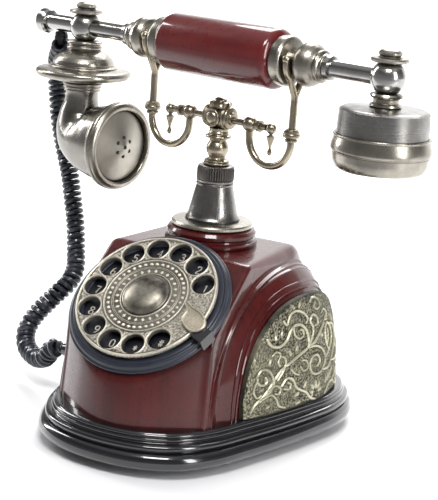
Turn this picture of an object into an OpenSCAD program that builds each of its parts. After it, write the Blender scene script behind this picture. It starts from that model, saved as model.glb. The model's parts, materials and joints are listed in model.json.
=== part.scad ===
// Antique-style rotary telephone: moulded body on a stepped plinth, turned column,
// two forked cradle arms and a long handset with a horn transmitter and a cup receiver.
// Origin: floor level, middle of the footprint. X across, Y front to back, Z up, mm.

/* [Dial] */
// finger hole diameter
finger_hole_diameter = 12.4; // [11:0.2:13]
// finger wheel radius
finger_wheel_radius = 40; // [39.2:0.1:40.4]
// height of the domed centre cap over the wheel
centre_cap_height = 3.4; // [2:0.2:5]

/* [Handset] */
// radius of the lacquered grip
grip_radius = 16.8; // [15:0.2:18]
// radius of the receiver cup
receiver_radius = 23.8; // [22.5:0.1:24]
// radius of the wide transmitter disc
transmitter_disc_radius = 29.2; // [27.5:0.1:29.4]
// radius of the straight handset rods
rod_radius = 4.9; // [4.2:0.1:5.3]

/* [Column and cradle] */
// radius of the knurled collar
collar_radius = 9.4; // [8.6:0.1:10]
// radius of the bent arm bar
arm_bar_radius = 2.1; // [1.8:0.1:2.3]
// radius of the disc under the column
column_flange_radius = 23.4; // [21:0.2:24.4]

/* [Body] */
// radius of each rubber foot
foot_radius = 8; // [6:0.5:9]
// wall of the hollow body
body_wall = 3; // [2.4:0.2:3.6]

/* [Hidden] */
deck_z = 105;
plinth_top = 24;
slope = 40;
deck_front = -36;
deck_back = 35;
hood = 44.5;
hood_flare = 2.5;
back_corner = 12;
yaw = -12;
axis_z = 214.8;
ball_x = 110.4;
fork_x = 51.6;
neck_r = 7.4;
col_y = 21.5;
// left reach is the nub on the rod end, right reach is the receiver ring
col_x = ((152 * cos(yaw) + 2 * sin(-yaw)) - (ball_x * cos(yaw) + 26.7)) / 2;

burgundy = [0.36, 0.05, 0.05];
nickel = [0.55, 0.51, 0.44];
gilt = [0.68, 0.62, 0.42];
jet = [0.07, 0.07, 0.08];
brass = [0.72, 0.56, 0.30];
steel = [0.6, 0.6, 0.62];

// ---------- curves
function cr(a, b, c, d, t) = 0.5 * (2 * b + (c - a) * t + (2 * a - 5 * b + 4 * c - d) * t * t
    + (3 * b - a - 3 * c + d) * t * t * t);
function both(p) = concat(p, [for (i = [len(p) - 2:-1:1]) [-p[i][0], p[i][1]]]);
function smooth(p, k) = let (n = len(p)) [for (i = [0:n - 1]) for (j = [0:k - 1])
    cr(p[(i + n - 1) % n], p[i], p[(i + 1) % n], p[(i + 2) % n], j / k)];
function mixed(a, b, f) = [for (i = [0:len(a) - 1]) a[i] * (1 - f) + b[i] * f];
function inset(p, d) = let (n = len(p)) [for (i = [0:n - 1])
    let (t = p[(i + 1) % n] - p[(i + n - 1) % n]) p[i] + d * [-t[1], t[0]] / norm(t)];
function arc(cx, cy, r, a0, a1, n) = [for (i = [0:n]) let (a = a0 + (a1 - a0) * i / n)
    [cx + r * cos(a), cy + r * sin(a)]];
function lim(v, a, b) = min(b, max(a, v));

// plan of the lowest plinth roll and of its top bead, front middle round to back middle
roll_half = [[0, -115], [24, -111.5], [44, -100], [57, -81], [65, -58], [72, -34], [78, -8],
    [82, 18], [80, 40], [70, 59], [48, 69.5], [22, 72], [0, 72]];
bead_half = [[0, -107], [20.5, -104], [37, -94.3], [49, -77], [57, -54], [64.5, -30],
    [71, -6], [75.5, 16], [73.5, 37], [64, 54], [45, 63], [21, 65.5], [0, 65.5]];
roll_plan = smooth(both(roll_half), 3);
bead_plan = smooth(both(bead_half), 3);

// ---------- body surface
function half_width(z) = hood + hood_flare * (deck_z - z) / (deck_z - plinth_top);
function front_y(x, z) = let (
    s = deck_front - (deck_z - z) / tan(slope),
    b = -103 + 0.085 * (z - plinth_top) + 23 * pow(x / half_width(z), 2), k = 2)
    max(s, b) + k * ln(1 + exp(-abs(s - b) / k));
function back_y(z) = deck_back + 25.5 * pow(max(0, deck_z - z) / 81, 0.62);
function arch(y, z, rf, rb, rz, n) = pow(pow(abs(y - 8) / (y < 8 ? rf : rb), n)
    + pow(max(0, z - 20) / rz, n), 1 / n);
function taper(y) = y < 8 ? 0.13 * (8 - y) : (y > 28 ? 0.011 * pow(y - 28, 2) : 0);
function side_x(y, z) = half_width(z) + max(0,
    14 * sqrt(lim((1 - arch(y, z, 84, 58, 78, 2.2)) / 0.21, 0, 1)) - taper(y));
// how far the back corner is drawn in at y, for a back wall at yb
function corner_in(y, yb) = back_corner * (1 - sqrt(1 - pow(lim((y - yb) / back_corner + 1,
    0, 1), 2)));
front_steps = [0, 0.2, 0.4, 0.58, 0.74, 0.88, 1];
side_steps = [0.07, 0.12, 0.18, 0.27, 0.37, 0.48, 0.59, 0.69, 0.78, 0.85, 0.9, 0.94, 0.975, 1];
back_steps = [0.8, 0.5, 0.2, 0];
function half_ring(z, e) = let (hx = half_width(z), yf = front_y(hx, z), yb = back_y(z))
    concat([for (f = front_steps) [f * (hx - e), front_y(f * hx, z) + e]],
    [for (t = side_steps) let (y = yf + (yb - yf) * t)
        [side_x(y, z) - corner_in(y, yb) - e, min(y, yb - e)]],
    [for (f = back_steps) [f * (side_x(yb, z) - back_corner - e), yb - e]]);
function body_ring(z, e) = both(half_ring(z, e));
function shrunk(p, d) = let (hx = max([for (q = p) q[0]]), y0 = min([for (q = p) q[1]]),
    y1 = max([for (q = p) q[1]]), m = (y0 + y1) / 2, hy = (y1 - y0) / 2)
    [for (q = p) [q[0] * (hx - d) / hx, m + (q[1] - m) * (hy - d) / hy]];
levels = [[24, 0], [31, 0], [38, 0], [45, 0], [51, 0], [56, 0], [62, 0], [68, 0], [74, 0],
    [80, 0], [86, 0], [91, 0], [95, 0], [98.5, 0], [102, 0.2], [104.2, 1.2], [105, 3]];

module loft(rings) {
    m = len(rings);
    n = len(rings[0]);
    pts = [for (r = rings) each r];
    polyhedron(points = pts, convexity = 6, faces = concat(
        [[for (i = [n - 1:-1:0]) i]],
        [for (k = [0:m - 2]) for (i = [0:n - 1]) [k * n + i, k * n + (i + 1) % n,
            (k + 1) * n + (i + 1) % n]],
        [for (k = [0:m - 2]) for (i = [0:n - 1]) [k * n + i, (k + 1) * n + (i + 1) % n,
            (k + 1) * n + i]],
        [[for (i = [0:n - 1]) (m - 1) * n + i]]));
}

// open-bottomed shell: outer rings up, inner rings down, one rim
module shell_solid() {
    m = len(levels);
    outer = [for (l = levels) [for (q = body_ring(l[0], l[1])) [q[0], q[1], l[0]]]];
    inner = [for (l = levels) [for (q = shrunk(body_ring(l[0], l[1]), body_wall))
        [q[0], q[1], plinth_top + (l[0] - plinth_top) * (deck_z - body_wall - plinth_top)
            / (deck_z - plinth_top)]]];
    n = len(outer[0]);
    o = m * n;
    mid = (deck_front + deck_back) / 2;
    polyhedron(points = concat([for (r = outer) each r], [for (r = inner) each r],
        [[0, mid, deck_z], [0, mid, deck_z - body_wall]]),
        convexity = 8, faces = concat(
        [for (k = [0:m - 2]) for (i = [0:n - 1]) let (a = k * n + i, b = k * n + (i + 1) % n)
            each [[a, b, b + n], [a, b + n, a + n]]],
        [for (k = [0:m - 2]) for (i = [0:n - 1]) let (a = o + k * n + i,
            b = o + k * n + (i + 1) % n) each [[a, b + n, b], [a, a + n, b + n]]],
        [for (i = [0:n - 1]) let (a = i, b = (i + 1) % n) each [[a, o + b, b], [a, o + a, o + b]]],
        [for (i = [0:n - 1]) [2 * o, o - n + i, o - n + (i + 1) % n]],
        [for (i = [0:n - 1]) [2 * o + 1, 2 * o - n + (i + 1) % n, 2 * o - n + i]]));
}

// ---------- frames
module column() translate([col_x, col_y, 0]) children();
module cradle() column() rotate([0, 0, yaw]) children();
module dial() column() translate([0, -70, 87]) rotate([slope, 0, 0]) children();
module along_x() translate([0, 0, axis_z]) rotate([0, 90, 0]) children();
module turned(p) rotate_extrude($fn = 96) polygon(p);
module bar(a, b, r) {
    v = b - a;
    translate(a) rotate([0, acos(v[2] / norm(v)), atan2(v[1], v[0])])
        cylinder(r = r, h = norm(v), $fn = 48);
}

// ---------- base
module plinth() color(jet) column() difference() {
    union() {
        for (s = [[4, 6.2, -0.15], [6.2, 7.6, 0.75], [7.6, 9.2, 0.93], [9.2, 13, 1],
            [13, 14.6, 0.9], [14.6, 15.4, 0.45], [15.4, 18.6, 0.62], [18.6, 19.6, 0.1],
            [19.6, 23.9, 0]])
            translate([0, 0, s[0]]) linear_extrude(s[1] - s[0])
                polygon(mixed(bead_plan, roll_plan, s[2]));
    }
    translate([0, 0, 3]) linear_extrude(22) polygon(inset(bead_plan, 7));
}

module bottom_plate() color(jet) column() difference() {
    translate([0, 0, 4.2]) linear_extrude(2) polygon(inset(bead_plan, 7.4));
    for (x = [-30, 30], y = [-66, 36]) translate([x, y, 3]) cylinder(r = 2.2, h = 5, $fn = 32);
}

module rubber_feet() color(jet) column()
    for (x = [-44, 44], y = [-60, 42]) translate([x, y, 0])
        cylinder(r = foot_radius, h = 3.9, $fn = 64);

module bottom_screws() color(steel) column()
    for (x = [-30, 30], y = [-66, 36]) translate([x, y, 2.6]) {
        cylinder(r = 3.6, h = 1.5, $fn = 48);
        cylinder(r = 2.1, h = 9, $fn = 32);
    }

module body_shell() color(burgundy) difference() {
    column() shell_solid();
    dial() translate([0, 0, -30]) cylinder(r = 30, h = 28, $fn = 96);
    column() translate([0, 0, 90]) cylinder(r = 6.2, h = 30, $fn = 64);
    column() translate([20, 40, 42]) rotate([-90, 0, 0]) cylinder(r = 9, h = 40, $fn = 64);
}

function panel_x(y, z) = let (r = lim(arch(y, z, 62, 46, 64, 2.4), 0, 1))
    half_width(z) + 14 - taper(y) + 2.2 + 11.3 * pow(1 - pow(r, 1.5), 0.62);
module side_panel(s) {
    nu = 20;
    nv = 8;
    ys = [for (i = [0:nu]) let (c = -cos(180 * i / nu) * 0.992) 8 + (c < 0 ? 62 : 46) * c];
    tops = [for (y = ys) 20 + 64 * pow(max(0, 1 - pow(abs(y - 8) / (y < 8 ? 62 : 46), 2.4)),
        1 / 2.4)];
    z0 = plinth_top + 0.2;
    k = (nu + 1) * (nv + 1);
    pts = concat(
        [for (i = [0:nu]) for (j = [0:nv]) let (z = z0 + max(1.5, tops[i] - z0) * j / nv)
            [s * panel_x(ys[i], z), ys[i], z]],
        [for (i = [0:nu]) for (j = [0:nv]) let (z = z0 + max(1.5, tops[i] - z0) * j / nv)
            [s * (half_width(z) + 14.3 - taper(ys[i])), ys[i], z]]);
    rim = concat([for (i = [0:nu]) i * (nv + 1)], [for (j = [1:nv]) nu * (nv + 1) + j],
        [for (i = [nu - 1:-1:0]) i * (nv + 1) + nv], [for (j = [nv - 1:-1:1]) j]);
    m = len(rim);
    f = concat(
        [for (i = [0:nu - 1]) for (j = [0:nv - 1]) let (a = i * (nv + 1) + j, b = a + nv + 1)
            each [[a, b, b + 1], [a, b + 1, a + 1]]],
        [for (i = [0:nu - 1]) for (j = [0:nv - 1]) let (a = k + i * (nv + 1) + j,
            b = a + nv + 1) each [[a, b + 1, b], [a, a + 1, b + 1]]],
        [for (i = [0:m - 1]) let (a = rim[i], b = rim[(i + 1) % m])
            each [[a, k + b, b], [a, k + a, k + b]]]);
    color(gilt) column() polyhedron(points = pts, convexity = 6,
        faces = s > 0 ? [for (q = f) [q[0], q[2], q[1]]] : f);
}
module right_side_panel() side_panel(1);
module left_side_panel() difference() {
    side_panel(-1);
    column() translate([-90, -30, 30]) rotate([0, 90, 0]) cylinder(r = 4.4, h = 60, $fn = 48);
}

module pedestal_ring() color(burgundy) column() translate([0, 0, deck_z + 0.1]) turned([
    [12, 0], [26.3, 0], [26.7, 1.2], [26.5, 3], [25, 3.8], [24.8, 4.6], [25.8, 5.6],
    [25.8, 7.4], [24.6, 9], [22.5, 9.7], [12, 9.7]]);

module column_flange() color(nickel) column() translate([0, 0, deck_z + 9.9]) turned([
    [12, 0], [column_flange_radius - 0.8, 0], [column_flange_radius, 0.8],
    [column_flange_radius, 2], [column_flange_radius - 0.7, 2.8], [17, 3.3], [12, 3.3]]);

module column_cone() color(nickel) column() turned([
    [6.2, 118.3], [15.4, 118.3], [15.6, 119.6], [14.6, 121], [10.6, 138.4], [10.9, 139.2],
    [10.6, 139.9], [6.2, 139.9]]);

module knurled_collar() color(nickel) column() turned([
    [4.3, 140], [collar_radius - 0.6, 140], [collar_radius, 140.7], [collar_radius, 149],
    [collar_radius - 0.7, 149.7], [4.3, 149.7]]);

module column_liner() color(brass) column() turned([
    [4.3, 103], [5.9, 103], [5.9, 139.9], [4.3, 139.9]]);

module dial_backing() color(jet) dial() turned([
    [8, -7.9], [26, -7.9], [26, -11], [29.4, -11], [29.4, -7.9], [45.8, -7.9], [46.3, -7.4],
    [46.3, -6.6], [45.6, -6.1], [44.4, -6.1], [44.2, -5.2], [43.4, -4.6], [42.4, -4.6],
    [42.2, -3.4], [41.6, -3], [36.6, -3], [36.6, -5.6], [8, -5.6]]);

module number_plate() color(jet) dial() turned([
    [10, -5.5], [36.4, -5.5], [36.4, -4.6], [10, -4.6]]);

module finger_stop() color(gilt) dial() translate([0, 0, 1.5]) linear_extrude(1.3)
    polygon(smooth([[24.6, -0.3], [28, -5], [27.8, -10.4], [31.5, -14.8], [36.3, -16.9],
        [40.4, -15.9], [42.9, -12.6], [41.6, -8.2], [36.8, -4.2], [31, -2], [26.2, 0.8]], 3));

module finger_stop_clip() color(jet) dial() rotate([0, 0, -21]) difference() {
    translate([41.6, -4.3, -5.8]) cube([7.6, 8.6, 7.2]);
    translate([0, 0, -8.5]) cylinder(r = 44.5, h = 8.2, $fn = 96);
}

module dial_frame() color(steel) dial() difference() {
    union() {
        translate([0, 0, -16]) cylinder(r = 7.6, h = 11.4, $fn = 64);
        translate([-11, -11, -17.2]) cube([52, 22, 1.3]);
    }
    translate([0, 0, -20]) cylinder(r = 3.06, h = 20, $fn = 48);
    translate([30.3, 0, -20]) cylinder(r = 1.56, h = 20, $fn = 32);
}

module circuit_board() color([0.1, 0.28, 0.14]) column() difference() {
    translate([-32, -52, 12]) cube([64, 84, 1.6]);
    for (x = [-28, 28], y = [-48, 28]) translate([x, y, 8]) cylinder(r = 1.6, h = 8, $fn = 32);
}

module board_posts() color(steel) column()
    for (x = [-28, 28], y = [-48, 28]) translate([x, y, 6.3]) {
        cylinder(r = 3, h = 5.6, $fn = 32);
        cylinder(r = 1.5, h = 8.6, $fn = 32);
    }

module ringer() color(brass) column() translate([0, -8, 13.7]) {
    for (x = [-16, 16]) translate([x, 0, 4]) turned([
        [0, 0], [2, 0], [2, 6.4], [12.6, 4.4], [13.6, 2.4], [14.6, 2.4], [13.8, 5.8],
        [11, 8], [2.2, 9.6], [0, 9.6]]);
    for (x = [-16, 16]) translate([x, 0, 0]) cylinder(r = 3.4, h = 4, $fn = 32);
}

module line_jack() color(jet) column() translate([20, 0, 42]) difference() {
    union() {
        translate([0, 49, 0]) rotate([-90, 0, 0]) cylinder(r = 8.8, h = 15.4, $fn = 64);
        translate([-9.6, 42, -8]) cube([19.2, 7, 16]);
    }
    translate([-5.6, 48, -3.8]) cube([11.2, 30, 7.6]);
}

module cord_socket() color(jet) column() translate([-64, -30, 30]) rotate([0, 90, 0])
    difference() {
        translate([0, 0, -4.2]) cylinder(r = 4.2, h = 9.6, $fn = 48);
        translate([0, 0, -5.2]) cylinder(r = 2.2, h = 6, $fn = 32);
    }

module hook_bracket() color(steel) column() {
    for (x = [-16, 16]) translate([x, 0, 66]) cylinder(r = 2, h = 35.9, $fn = 32);
    translate([-20, -7, 64]) cube([40, 14, 2]);
}

module hook_switch() color(jet) column() {
    translate([-9, -7, 66.1]) cube([18, 14, 6.4]);
    translate([0, 0, 72.5]) cylinder(r = 1.6, h = 2.2, $fn = 32);
}

// ---------- dial
module finger_wheel() color(gilt) dial() difference() {
    turned([[3.05, -3.6], [8.6, -3.6], [9.2, -2.4], [finger_wheel_radius - 0.7, -2.4],
        [finger_wheel_radius, -1.7], [finger_wheel_radius, -0.4],
        [finger_wheel_radius - 0.6, 0.2], [finger_wheel_radius - 1.5, 0], [24, 0], [23.6, 0.6],
        [22.8, 0.6], [22.4, 0], [17, 0.2], [16.6, 0.9], [15.6, 0.9], [15.2, 0.2], [3.05, 0.2]]);
    for (k = [0:11]) rotate([0, 0, 27 + 25.7 * k]) translate([32, 0, -4])
        cylinder(r = finger_hole_diameter / 2, h = 6, $fn = 64);
}

module dial_centre_cap() color(nickel) dial() translate([0, 0, 0.25]) turned(concat(
    [[0, 0], [13.4, 0], [13.6, 0.7], [13.2, 1.3], [12.2, 1.4]],
    [for (i = [0:6]) [11.6 * cos(i * 15), 1 + (centre_cap_height - 1) * sin(i * 15)]]));

module dial_shaft() color(steel) dial() translate([0, 0, -22.6]) cylinder(r = 3, h = 22.8, $fn = 64);

function inv_pt(rb, t) = [rb * (cos(t) + t * PI / 180 * sin(t)), rb * (sin(t) - t * PI / 180 * cos(t))];
function spun(p, a) = [p[0] * cos(a) - p[1] * sin(a), p[0] * sin(a) + p[1] * cos(a)];
// involute tooth outline: n teeth, module m, thinned by slack at the pitch circle
function gear_pts(n, m, slack, add, ded) = let (
    rp = n * m / 2, rb = rp * cos(20), ra = rp + add, rr = rp - ded,
    tp = acos(rb / rp), ip = tan(tp) * 180 / PI - tp,
    half = (PI * m / 2 - slack) / 2 / rp * 180 / PI,
    t1 = tan(acos(rb / ra)) * 180 / PI, t0 = rr > rb ? tan(acos(rb / rr)) * 180 / PI : 0,
    root = rr < rb ? [[rr, 0]] : [],
    flank = concat(root, [for (i = [0:4]) inv_pt(rb, t0 + (t1 - t0) * i / 4)]))
    [for (k = [0:n - 1]) each concat(
        [for (p = flank) spun(p, k * 360 / n - half - ip)],
        [for (i = [len(flank) - 1:-1:0]) spun([flank[i][0], -flank[i][1]],
            k * 360 / n + half + ip)])];

module main_gear() color(brass) dial() translate([0, 0, -20.6]) difference() {
    linear_extrude(2) polygon(gear_pts(48, 1, 0.5, 0.75, 1.35));
    translate([0, 0, -1]) cylinder(r = 3.02, h = 4, $fn = 48);
    for (a = [45:90:315]) rotate([0, 0, a]) translate([13, 0, -1]) cylinder(r = 5, h = 4, $fn = 48);
}

module governor_pinion() color(brass) dial() translate([30.3, 0, 0]) {
    translate([0, 0, -20.8]) linear_extrude(2.4) rotate([0, 0, 180 / 12 + 180])
        polygon(gear_pts(12, 1, 0.5, 0.7, 1.35));
    translate([0, 0, -27.4]) cylinder(r = 9, h = 6.2, $fn = 64);
    translate([0, 0, -21.2]) cylinder(r = 1.5, h = 6.4, $fn = 32);
}

// ---------- cradle
module plunger_rod() color(steel) column() {
    translate([0, 0, 75]) cylinder(r = 4.2, h = 75.3, $fn = 64);
    translate([0, 0, 87]) cylinder(r = 7.6, h = 2, $fn = 64);
}

module plunger_spring() color(steel) column()
    for (k = [0:4]) translate([0, 0, 73.1 + k * 3.2]) rotate_extrude($fn = 64)
        translate([6, 0]) circle(r = 0.5, $fn = 16);

module cradle_stem() color(nickel) cradle() turned([
    [0, 150.4], [7.4, 150.4], [7.8, 151.2], [7.4, 152.4], [5, 153.2], [4.7, 154.2],
    [5.8, 156], [6.5, 158], [6.3, 160], [5, 162.4], [4.5, 163.6], [5, 164.6], [7.2, 165.2],
    [7.5, 166.2], [7.1, 167.2], [5.5, 167.9], [5.2, 169.3], [5.6, 170.6], [0, 170.6]]);

module cradle_hub() color(nickel) cradle() {
    translate([0, 0, 177.4]) rotate([0, 90, 0]) turned([
        [0, -10.4], [3.4, -10.4], [3.8, -9], [6.2, -8], [6.6, -5], [6.4, 0], [6.6, 5],
        [6.2, 8], [3.8, 9], [3.4, 10.4], [0, 10.4]]);
    translate([0, 0, 177.4]) rotate([90, 0, 0]) translate([0, 0, -8.4])
        cylinder(r = 5.3, h = 16.8, $fn = 64);
    translate([0, 0, 170.7]) cylinder(r = 4, h = 6, $fn = 48);
}

module hub_crown() color(nickel) cradle() turned([
    [0, 183.9], [3, 183.9], [5.6, 184.6], [6, 185.6], [4.4, 186.4], [3.4, 187.6], [1.6, 188.4],
    [0, 188.6]]);

// one arm: bar out from the hub, beads, and a U of round bar up to the fork post
module arm(s) color(nickel) cradle() translate([0, 0, 176.6]) {
    c = (22.3 + fork_x) / 2;
    r = (fork_x - 22.3) / 2;
    bar([s * 10.5, 0, 0], [s * 34.3, 0, 0], 1.9);
    translate([s * 22.3, 0, 0]) sphere(r = 4.4, $fn = 48);
    translate([s * 29.2, 0, 0]) rotate([0, 90, 0]) translate([0, 0, -0.8])
        cylinder(r = 3.3, h = 1.6, $fn = 48);
    translate([s * c, 0, -6.4]) rotate([90, 0, 0]) rotate([0, 0, 180])
        rotate_extrude(angle = 180, $fn = 96) translate([r, 0])
            circle(r = arm_bar_radius, $fn = 48);
    bar([s * 22.3, 0, -6.4], [s * 22.3, 0, -3], arm_bar_radius);
    bar([s * fork_x, 0, -6.4], [s * fork_x, 0, 17], arm_bar_radius);
    translate([s * fork_x, 0, -2.2]) turned([[0, 0], [3.4, 0], [4.5, 1], [4.5, 2.6], [3.4, 3.6],
        [0, 3.6]]);
}
module left_arm() arm(-1);
module right_arm() arm(1);

module arm_finials() color(nickel) cradle() for (s = [-1, 1])
    translate([s * 37.4, 0, 176.4]) {
        sphere(r = 3, $fn = 48);
        translate([0, 0, -2.6]) rotate([180, 0, 0]) turned([[0, 0], [1.7, 0], [2.2, 1.4],
            [1.2, 2.6], [1.9, 5], [2.5, 7.6], [1.6, 10.2], [0.7, 12.4], [0, 12.6]]);
    }

module fork(s) color(nickel) cradle() translate([s * fork_x, 0, 0]) {
    rr = 10;
    bar([0, 0, 193.8], [0, 0, 197], 2.1);
    for (d = [-1, 1]) {
        bar([0, 0, 195.8], [0, d * rr * cos(56), axis_z - rr * sin(56)], 1.95);
        translate([0, d * rr * cos(56), axis_z - rr * sin(56)]) sphere(r = 1.95, $fn = 48);
        translate([0, 0, axis_z]) rotate([90, 0, 90]) rotate([0, 0, d > 0 ? -56 : 168])
            rotate_extrude(angle = 68, $fn = 96) translate([rr, 0])
                circle(r = 1.95, $fn = 48);
        translate([0, d * (rr + 0.4) * cos(12), axis_z + (rr + 0.4) * sin(12)])
            sphere(r = 2.45, $fn = 48);
    }
}
module left_fork() fork(-1);
module right_fork() fork(1);

// ---------- handset
module handset_grip() color(burgundy) cradle() along_x() turned(concat(
    [[0, -41], [12.6, -41]], arc(grip_radius - 4, -36.5, 4, -70, 0, 5),
    arc(grip_radius - 4, 36.5, 4, 0, 70, 5), [[12.6, 41], [0, 41]]));

module ferrule(s) color(nickel) cradle() along_x() scale([1, 1, s]) turned([
    [0, 41.1], [13, 41.1], [13.9, 41.9], [13.9, 43.4], [13.1, 44.4], [13.4, 46], [12.6, 47.6],
    [10, 48.4], [neck_r, 48.5], [neck_r, 54.9], [9, 55.2], [11.4, 56.8], [12.2, 59],
    [12, 61.4], [10.4, 64.6], [8.2, 68], [6.6, 70.4], [6.4, 71.6], [0, 71.6]]);
module left_ferrule() ferrule(-1);
module right_ferrule() ferrule(1);

module rod_body(a, b) turned([[0, a], [rod_radius + 1.6, a], [rod_radius + 2, a + 0.9],
    [rod_radius + 1.6, a + 3.2], [rod_radius, a + 3.6], [rod_radius, b], [0, b]]);
module right_rod() color(nickel) cradle() along_x() rod_body(71.7, 102.6);
module left_rod() color(nickel) cradle() along_x() rotate([180, 0, 0]) rod_body(71.7, 102.6);

module rod_end() color(nickel) cradle() difference() {
    along_x() rotate([180, 0, 0]) turned([
        [0, 118.2], [rod_radius, 118.2], [rod_radius, 140.4], [6.6, 140.8], [7.5, 142],
        [7.5, 146.4], [6.4, 148], [2.6, 148.4], [2.6, 150.4], [1.6, 152], [0, 152]]);
    translate([-131, 0, axis_z - 6]) cylinder(r = 2.3, h = 5, $fn = 32);
}

// ball with a flat seat for each rod end that meets it
module ball(x, seats) color(nickel) cradle() translate([x, 0, axis_z]) difference() {
    turned(concat([[0, -8]], arc(0, 0, 9.4, -58, 56, 14), [[0, 7.8]]));
    for (s = seats) rotate([0, s * 90, 0]) translate([0, 0, 7.7]) cylinder(r = 5.6, h = 4, $fn = 64);
}
module transmitter_ball() ball(-ball_x, [-1, 1]);
module receiver_ball() ball(ball_x, [-1]);

module top_finial(x) color(nickel) cradle() translate([x, 0, axis_z + 7.9]) turned([
    [0, 0], [8.6, 0], [10, 0.6], [10.2, 1.6], [9.4, 2.4], [6, 2.8], [5.4, 3.4], [6.3, 4.2],
    [6.3, 5.2], [5, 6.4], [2.4, 7.2], [0, 7.4]]);
module transmitter_finial() top_finial(-ball_x);
module receiver_finial() top_finial(ball_x);

module transmitter_disc() color(nickel) cradle() translate([-ball_x, 0, 0]) turned([
    [0, 206.7], [9.6, 206.7], [10.4, 205.6], [9.6, 204.6], [9.4, 204], [10.6, 203], [10.2, 201.6],
    [8.6, 201], [9.6, 200.4], [14, 198.8], [18.2, 195.8], [20.2, 192.4], [21.6, 190.6],
    [25, 189.4], [transmitter_disc_radius - 1, 188.4], [transmitter_disc_radius, 187],
    [transmitter_disc_radius, 185.8], [transmitter_disc_radius - 1, 184.8], [22, 183.4],
    [12, 181.6], [0, 181.6]]);

function lerp_pts(p, f) = let (k = min(len(p) - 2, floor(f)), t = f - k)
    cr(p[max(0, k - 1)], p[k], p[k + 1], p[min(len(p) - 1, k + 2)], t);
// horn: centre line [x, z, radius] from the disc down and round to the mouth
horn_line = [[-110.4, 181.4, 9.6], [-110.4, 172, 9.4], [-111.2, 163, 11.6],
    [-109.6, 155, 15.2], [-104.6, 149.6, 18.6], [-97, 147.6, 21.6], [-89, 147.3, 23.4],
    [-82.2, 147.3, 24.2]];
module transmitter_horn() color(nickel) cradle() {
    m = 20;
    n = 36;
    c = [for (i = [0:m]) lerp_pts(horn_line, i * 7 / m)];
    d = [for (i = [0:m]) let (v = c[min(m, i + 1)] - c[max(0, i - 1)])
        i == 0 ? [0, -1] : (i == m ? [1, 0] : [v[0], v[1]] / norm([v[0], v[1]]))];
    loft([for (i = [0:m]) [for (j = [0:n - 1]) let (a = j * 360 / n)
        [c[i][0] - d[i][1] * c[i][2] * cos(a), c[i][2] * sin(a),
            c[i][1] + d[i][0] * c[i][2] * cos(a)]]]);
}

module at_mouth() cradle() translate([-82, 0, 147.3]) rotate([0, 90, 0]) children();
module mouthpiece_ring() color(nickel) at_mouth() turned([
    [0, 0], [25, 0], [26.4, 1], [26.8, 3], [26.4, 5.4], [25, 7], [23.2, 8], [21.6, 8.2],
    [21.2, 7.4], [21.2, 5], [0, 5]]);
module mouthpiece_disc() color(nickel) at_mouth() difference() {
    turned([[0, 5.1], [21, 5.1], [21, 6.6], [15, 8], [9, 10], [3, 12.4], [0, 12.8]]);
    for (k = [0:6]) rotate([0, 0, k * 60]) translate([k == 6 ? 0 : 7.2, 0, 4])
        cylinder(r = 1.1, h = 12, $fn = 24);
}

module receiver_stem() color(nickel) cradle() translate([ball_x, 0, 0]) turned([
    [0, 206.7], [8.2, 206.7], [8.8, 205.8], [8.2, 204.8], [6.8, 204], [6.8, 202], [8.2, 201.2],
    [8.4, 200.2], [7.8, 199.6], [0, 199.6]]);
module receiver_cup() color(nickel) cradle() translate([ball_x, 0, 0]) turned([
    [0, 199.5], [10, 199.5], [14, 199.2], [receiver_radius - 2, 198.8],
    [receiver_radius, 197.6], [receiver_radius + 0.4, 190], [receiver_radius + 0.6, 185.2],
    [0, 185.2]]);
module receiver_ring() color(nickel) cradle() translate([ball_x, 0, 0]) turned([
    [0, 185.1], [25, 185.1], [25.4, 184.2], [25.2, 183], [26.2, 180.6], [26.7, 178],
    [26.7, 176.6], [26, 175.3], [0, 175.3]]);
module earpiece_cap() color(nickel) cradle() translate([ball_x, 0, 0]) difference() {
    turned([[0, 175.2], [25.9, 175.2], [25.4, 171], [24.2, 168], [22, 166.4], [18.6, 166.2],
        [14, 169.2], [9, 171.2], [0, 171.2]]);
    for (k = [0:6]) rotate([0, 0, k * 60]) translate([k == 6 ? 0 : 6, 0, 168])
        cylinder(r = 1, h = 4.8, $fn = 24);
}

// ---------- cord
module cord_boot() color(jet) cradle() translate([-131, 0, 0]) turned([
    [0, 212.5], [2.2, 212.5], [2.2, 209.7], [3.6, 209.5], [4.4, 207], [4.4, 204.4],
    [0, 204.4]]);
cord_route = [[-131, 0, 203.9], [-131.8, 0.6, 200.8], [-138.5, 6.5, 197], [-147.4, 13, 189.3],
    [-149.4, 15.5, 179.4], [-149.3, 16.5, 169.7], [-147.2, 16.4, 156.5], [-143.5, 16, 144.5],
    [-137.3, 15, 129.9], [-131.8, 14, 118.1], [-125.9, 12, 103.1], [-120.5, 10, 88.2],
    [-115.9, 7, 73.2], [-110.6, 2, 63.5], [-107.4, -6, 56.4], [-108.9, -14, 50.1],
    [-113.6, -20, 42.2], [-117.3, -26, 33.8], [-116.7, -32, 25.9], [-110.1, -37, 19],
    [-97.5, -41, 16.6], [-85, -44.8, 20.6], [-77.1, -46.9, 28.6], [-69.2, -45.3, 30]];
module handset_cord() color(jet) cradle() {
    p = cord_route;
    k = len(p) - 1;
    m = 69;
    n = 12;
    c = [for (i = [0:m]) lerp_pts(p, i * k / m)];
    t = [for (i = [0:m]) let (v = i == 0 ? [0, 0, -1] : i == m ? [cos(yaw), -sin(yaw), 0]
        : c[i + 1] - c[i - 1]) v / norm(v)];
    loft([for (i = [0:m]) let (u0 = cross(t[i], [0.3, 0.95, 0]), u = u0 / norm(u0),
        w = cross(t[i], u)) [for (j = [0:n - 1]) let (a = j * 360 / n)
        c[i] + 6.1 * (u * cos(a) + w * sin(a))]]);
}
module cord_plug() color(jet) column() translate([-68.3, -30, 30]) rotate([0, -90, 0]) turned([
    [0, -3.4], [2, -3.4], [2, 0.1], [4.6, 0.1], [4.6, 5], [3.6, 8.6], [0, 8.6]]);

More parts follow.
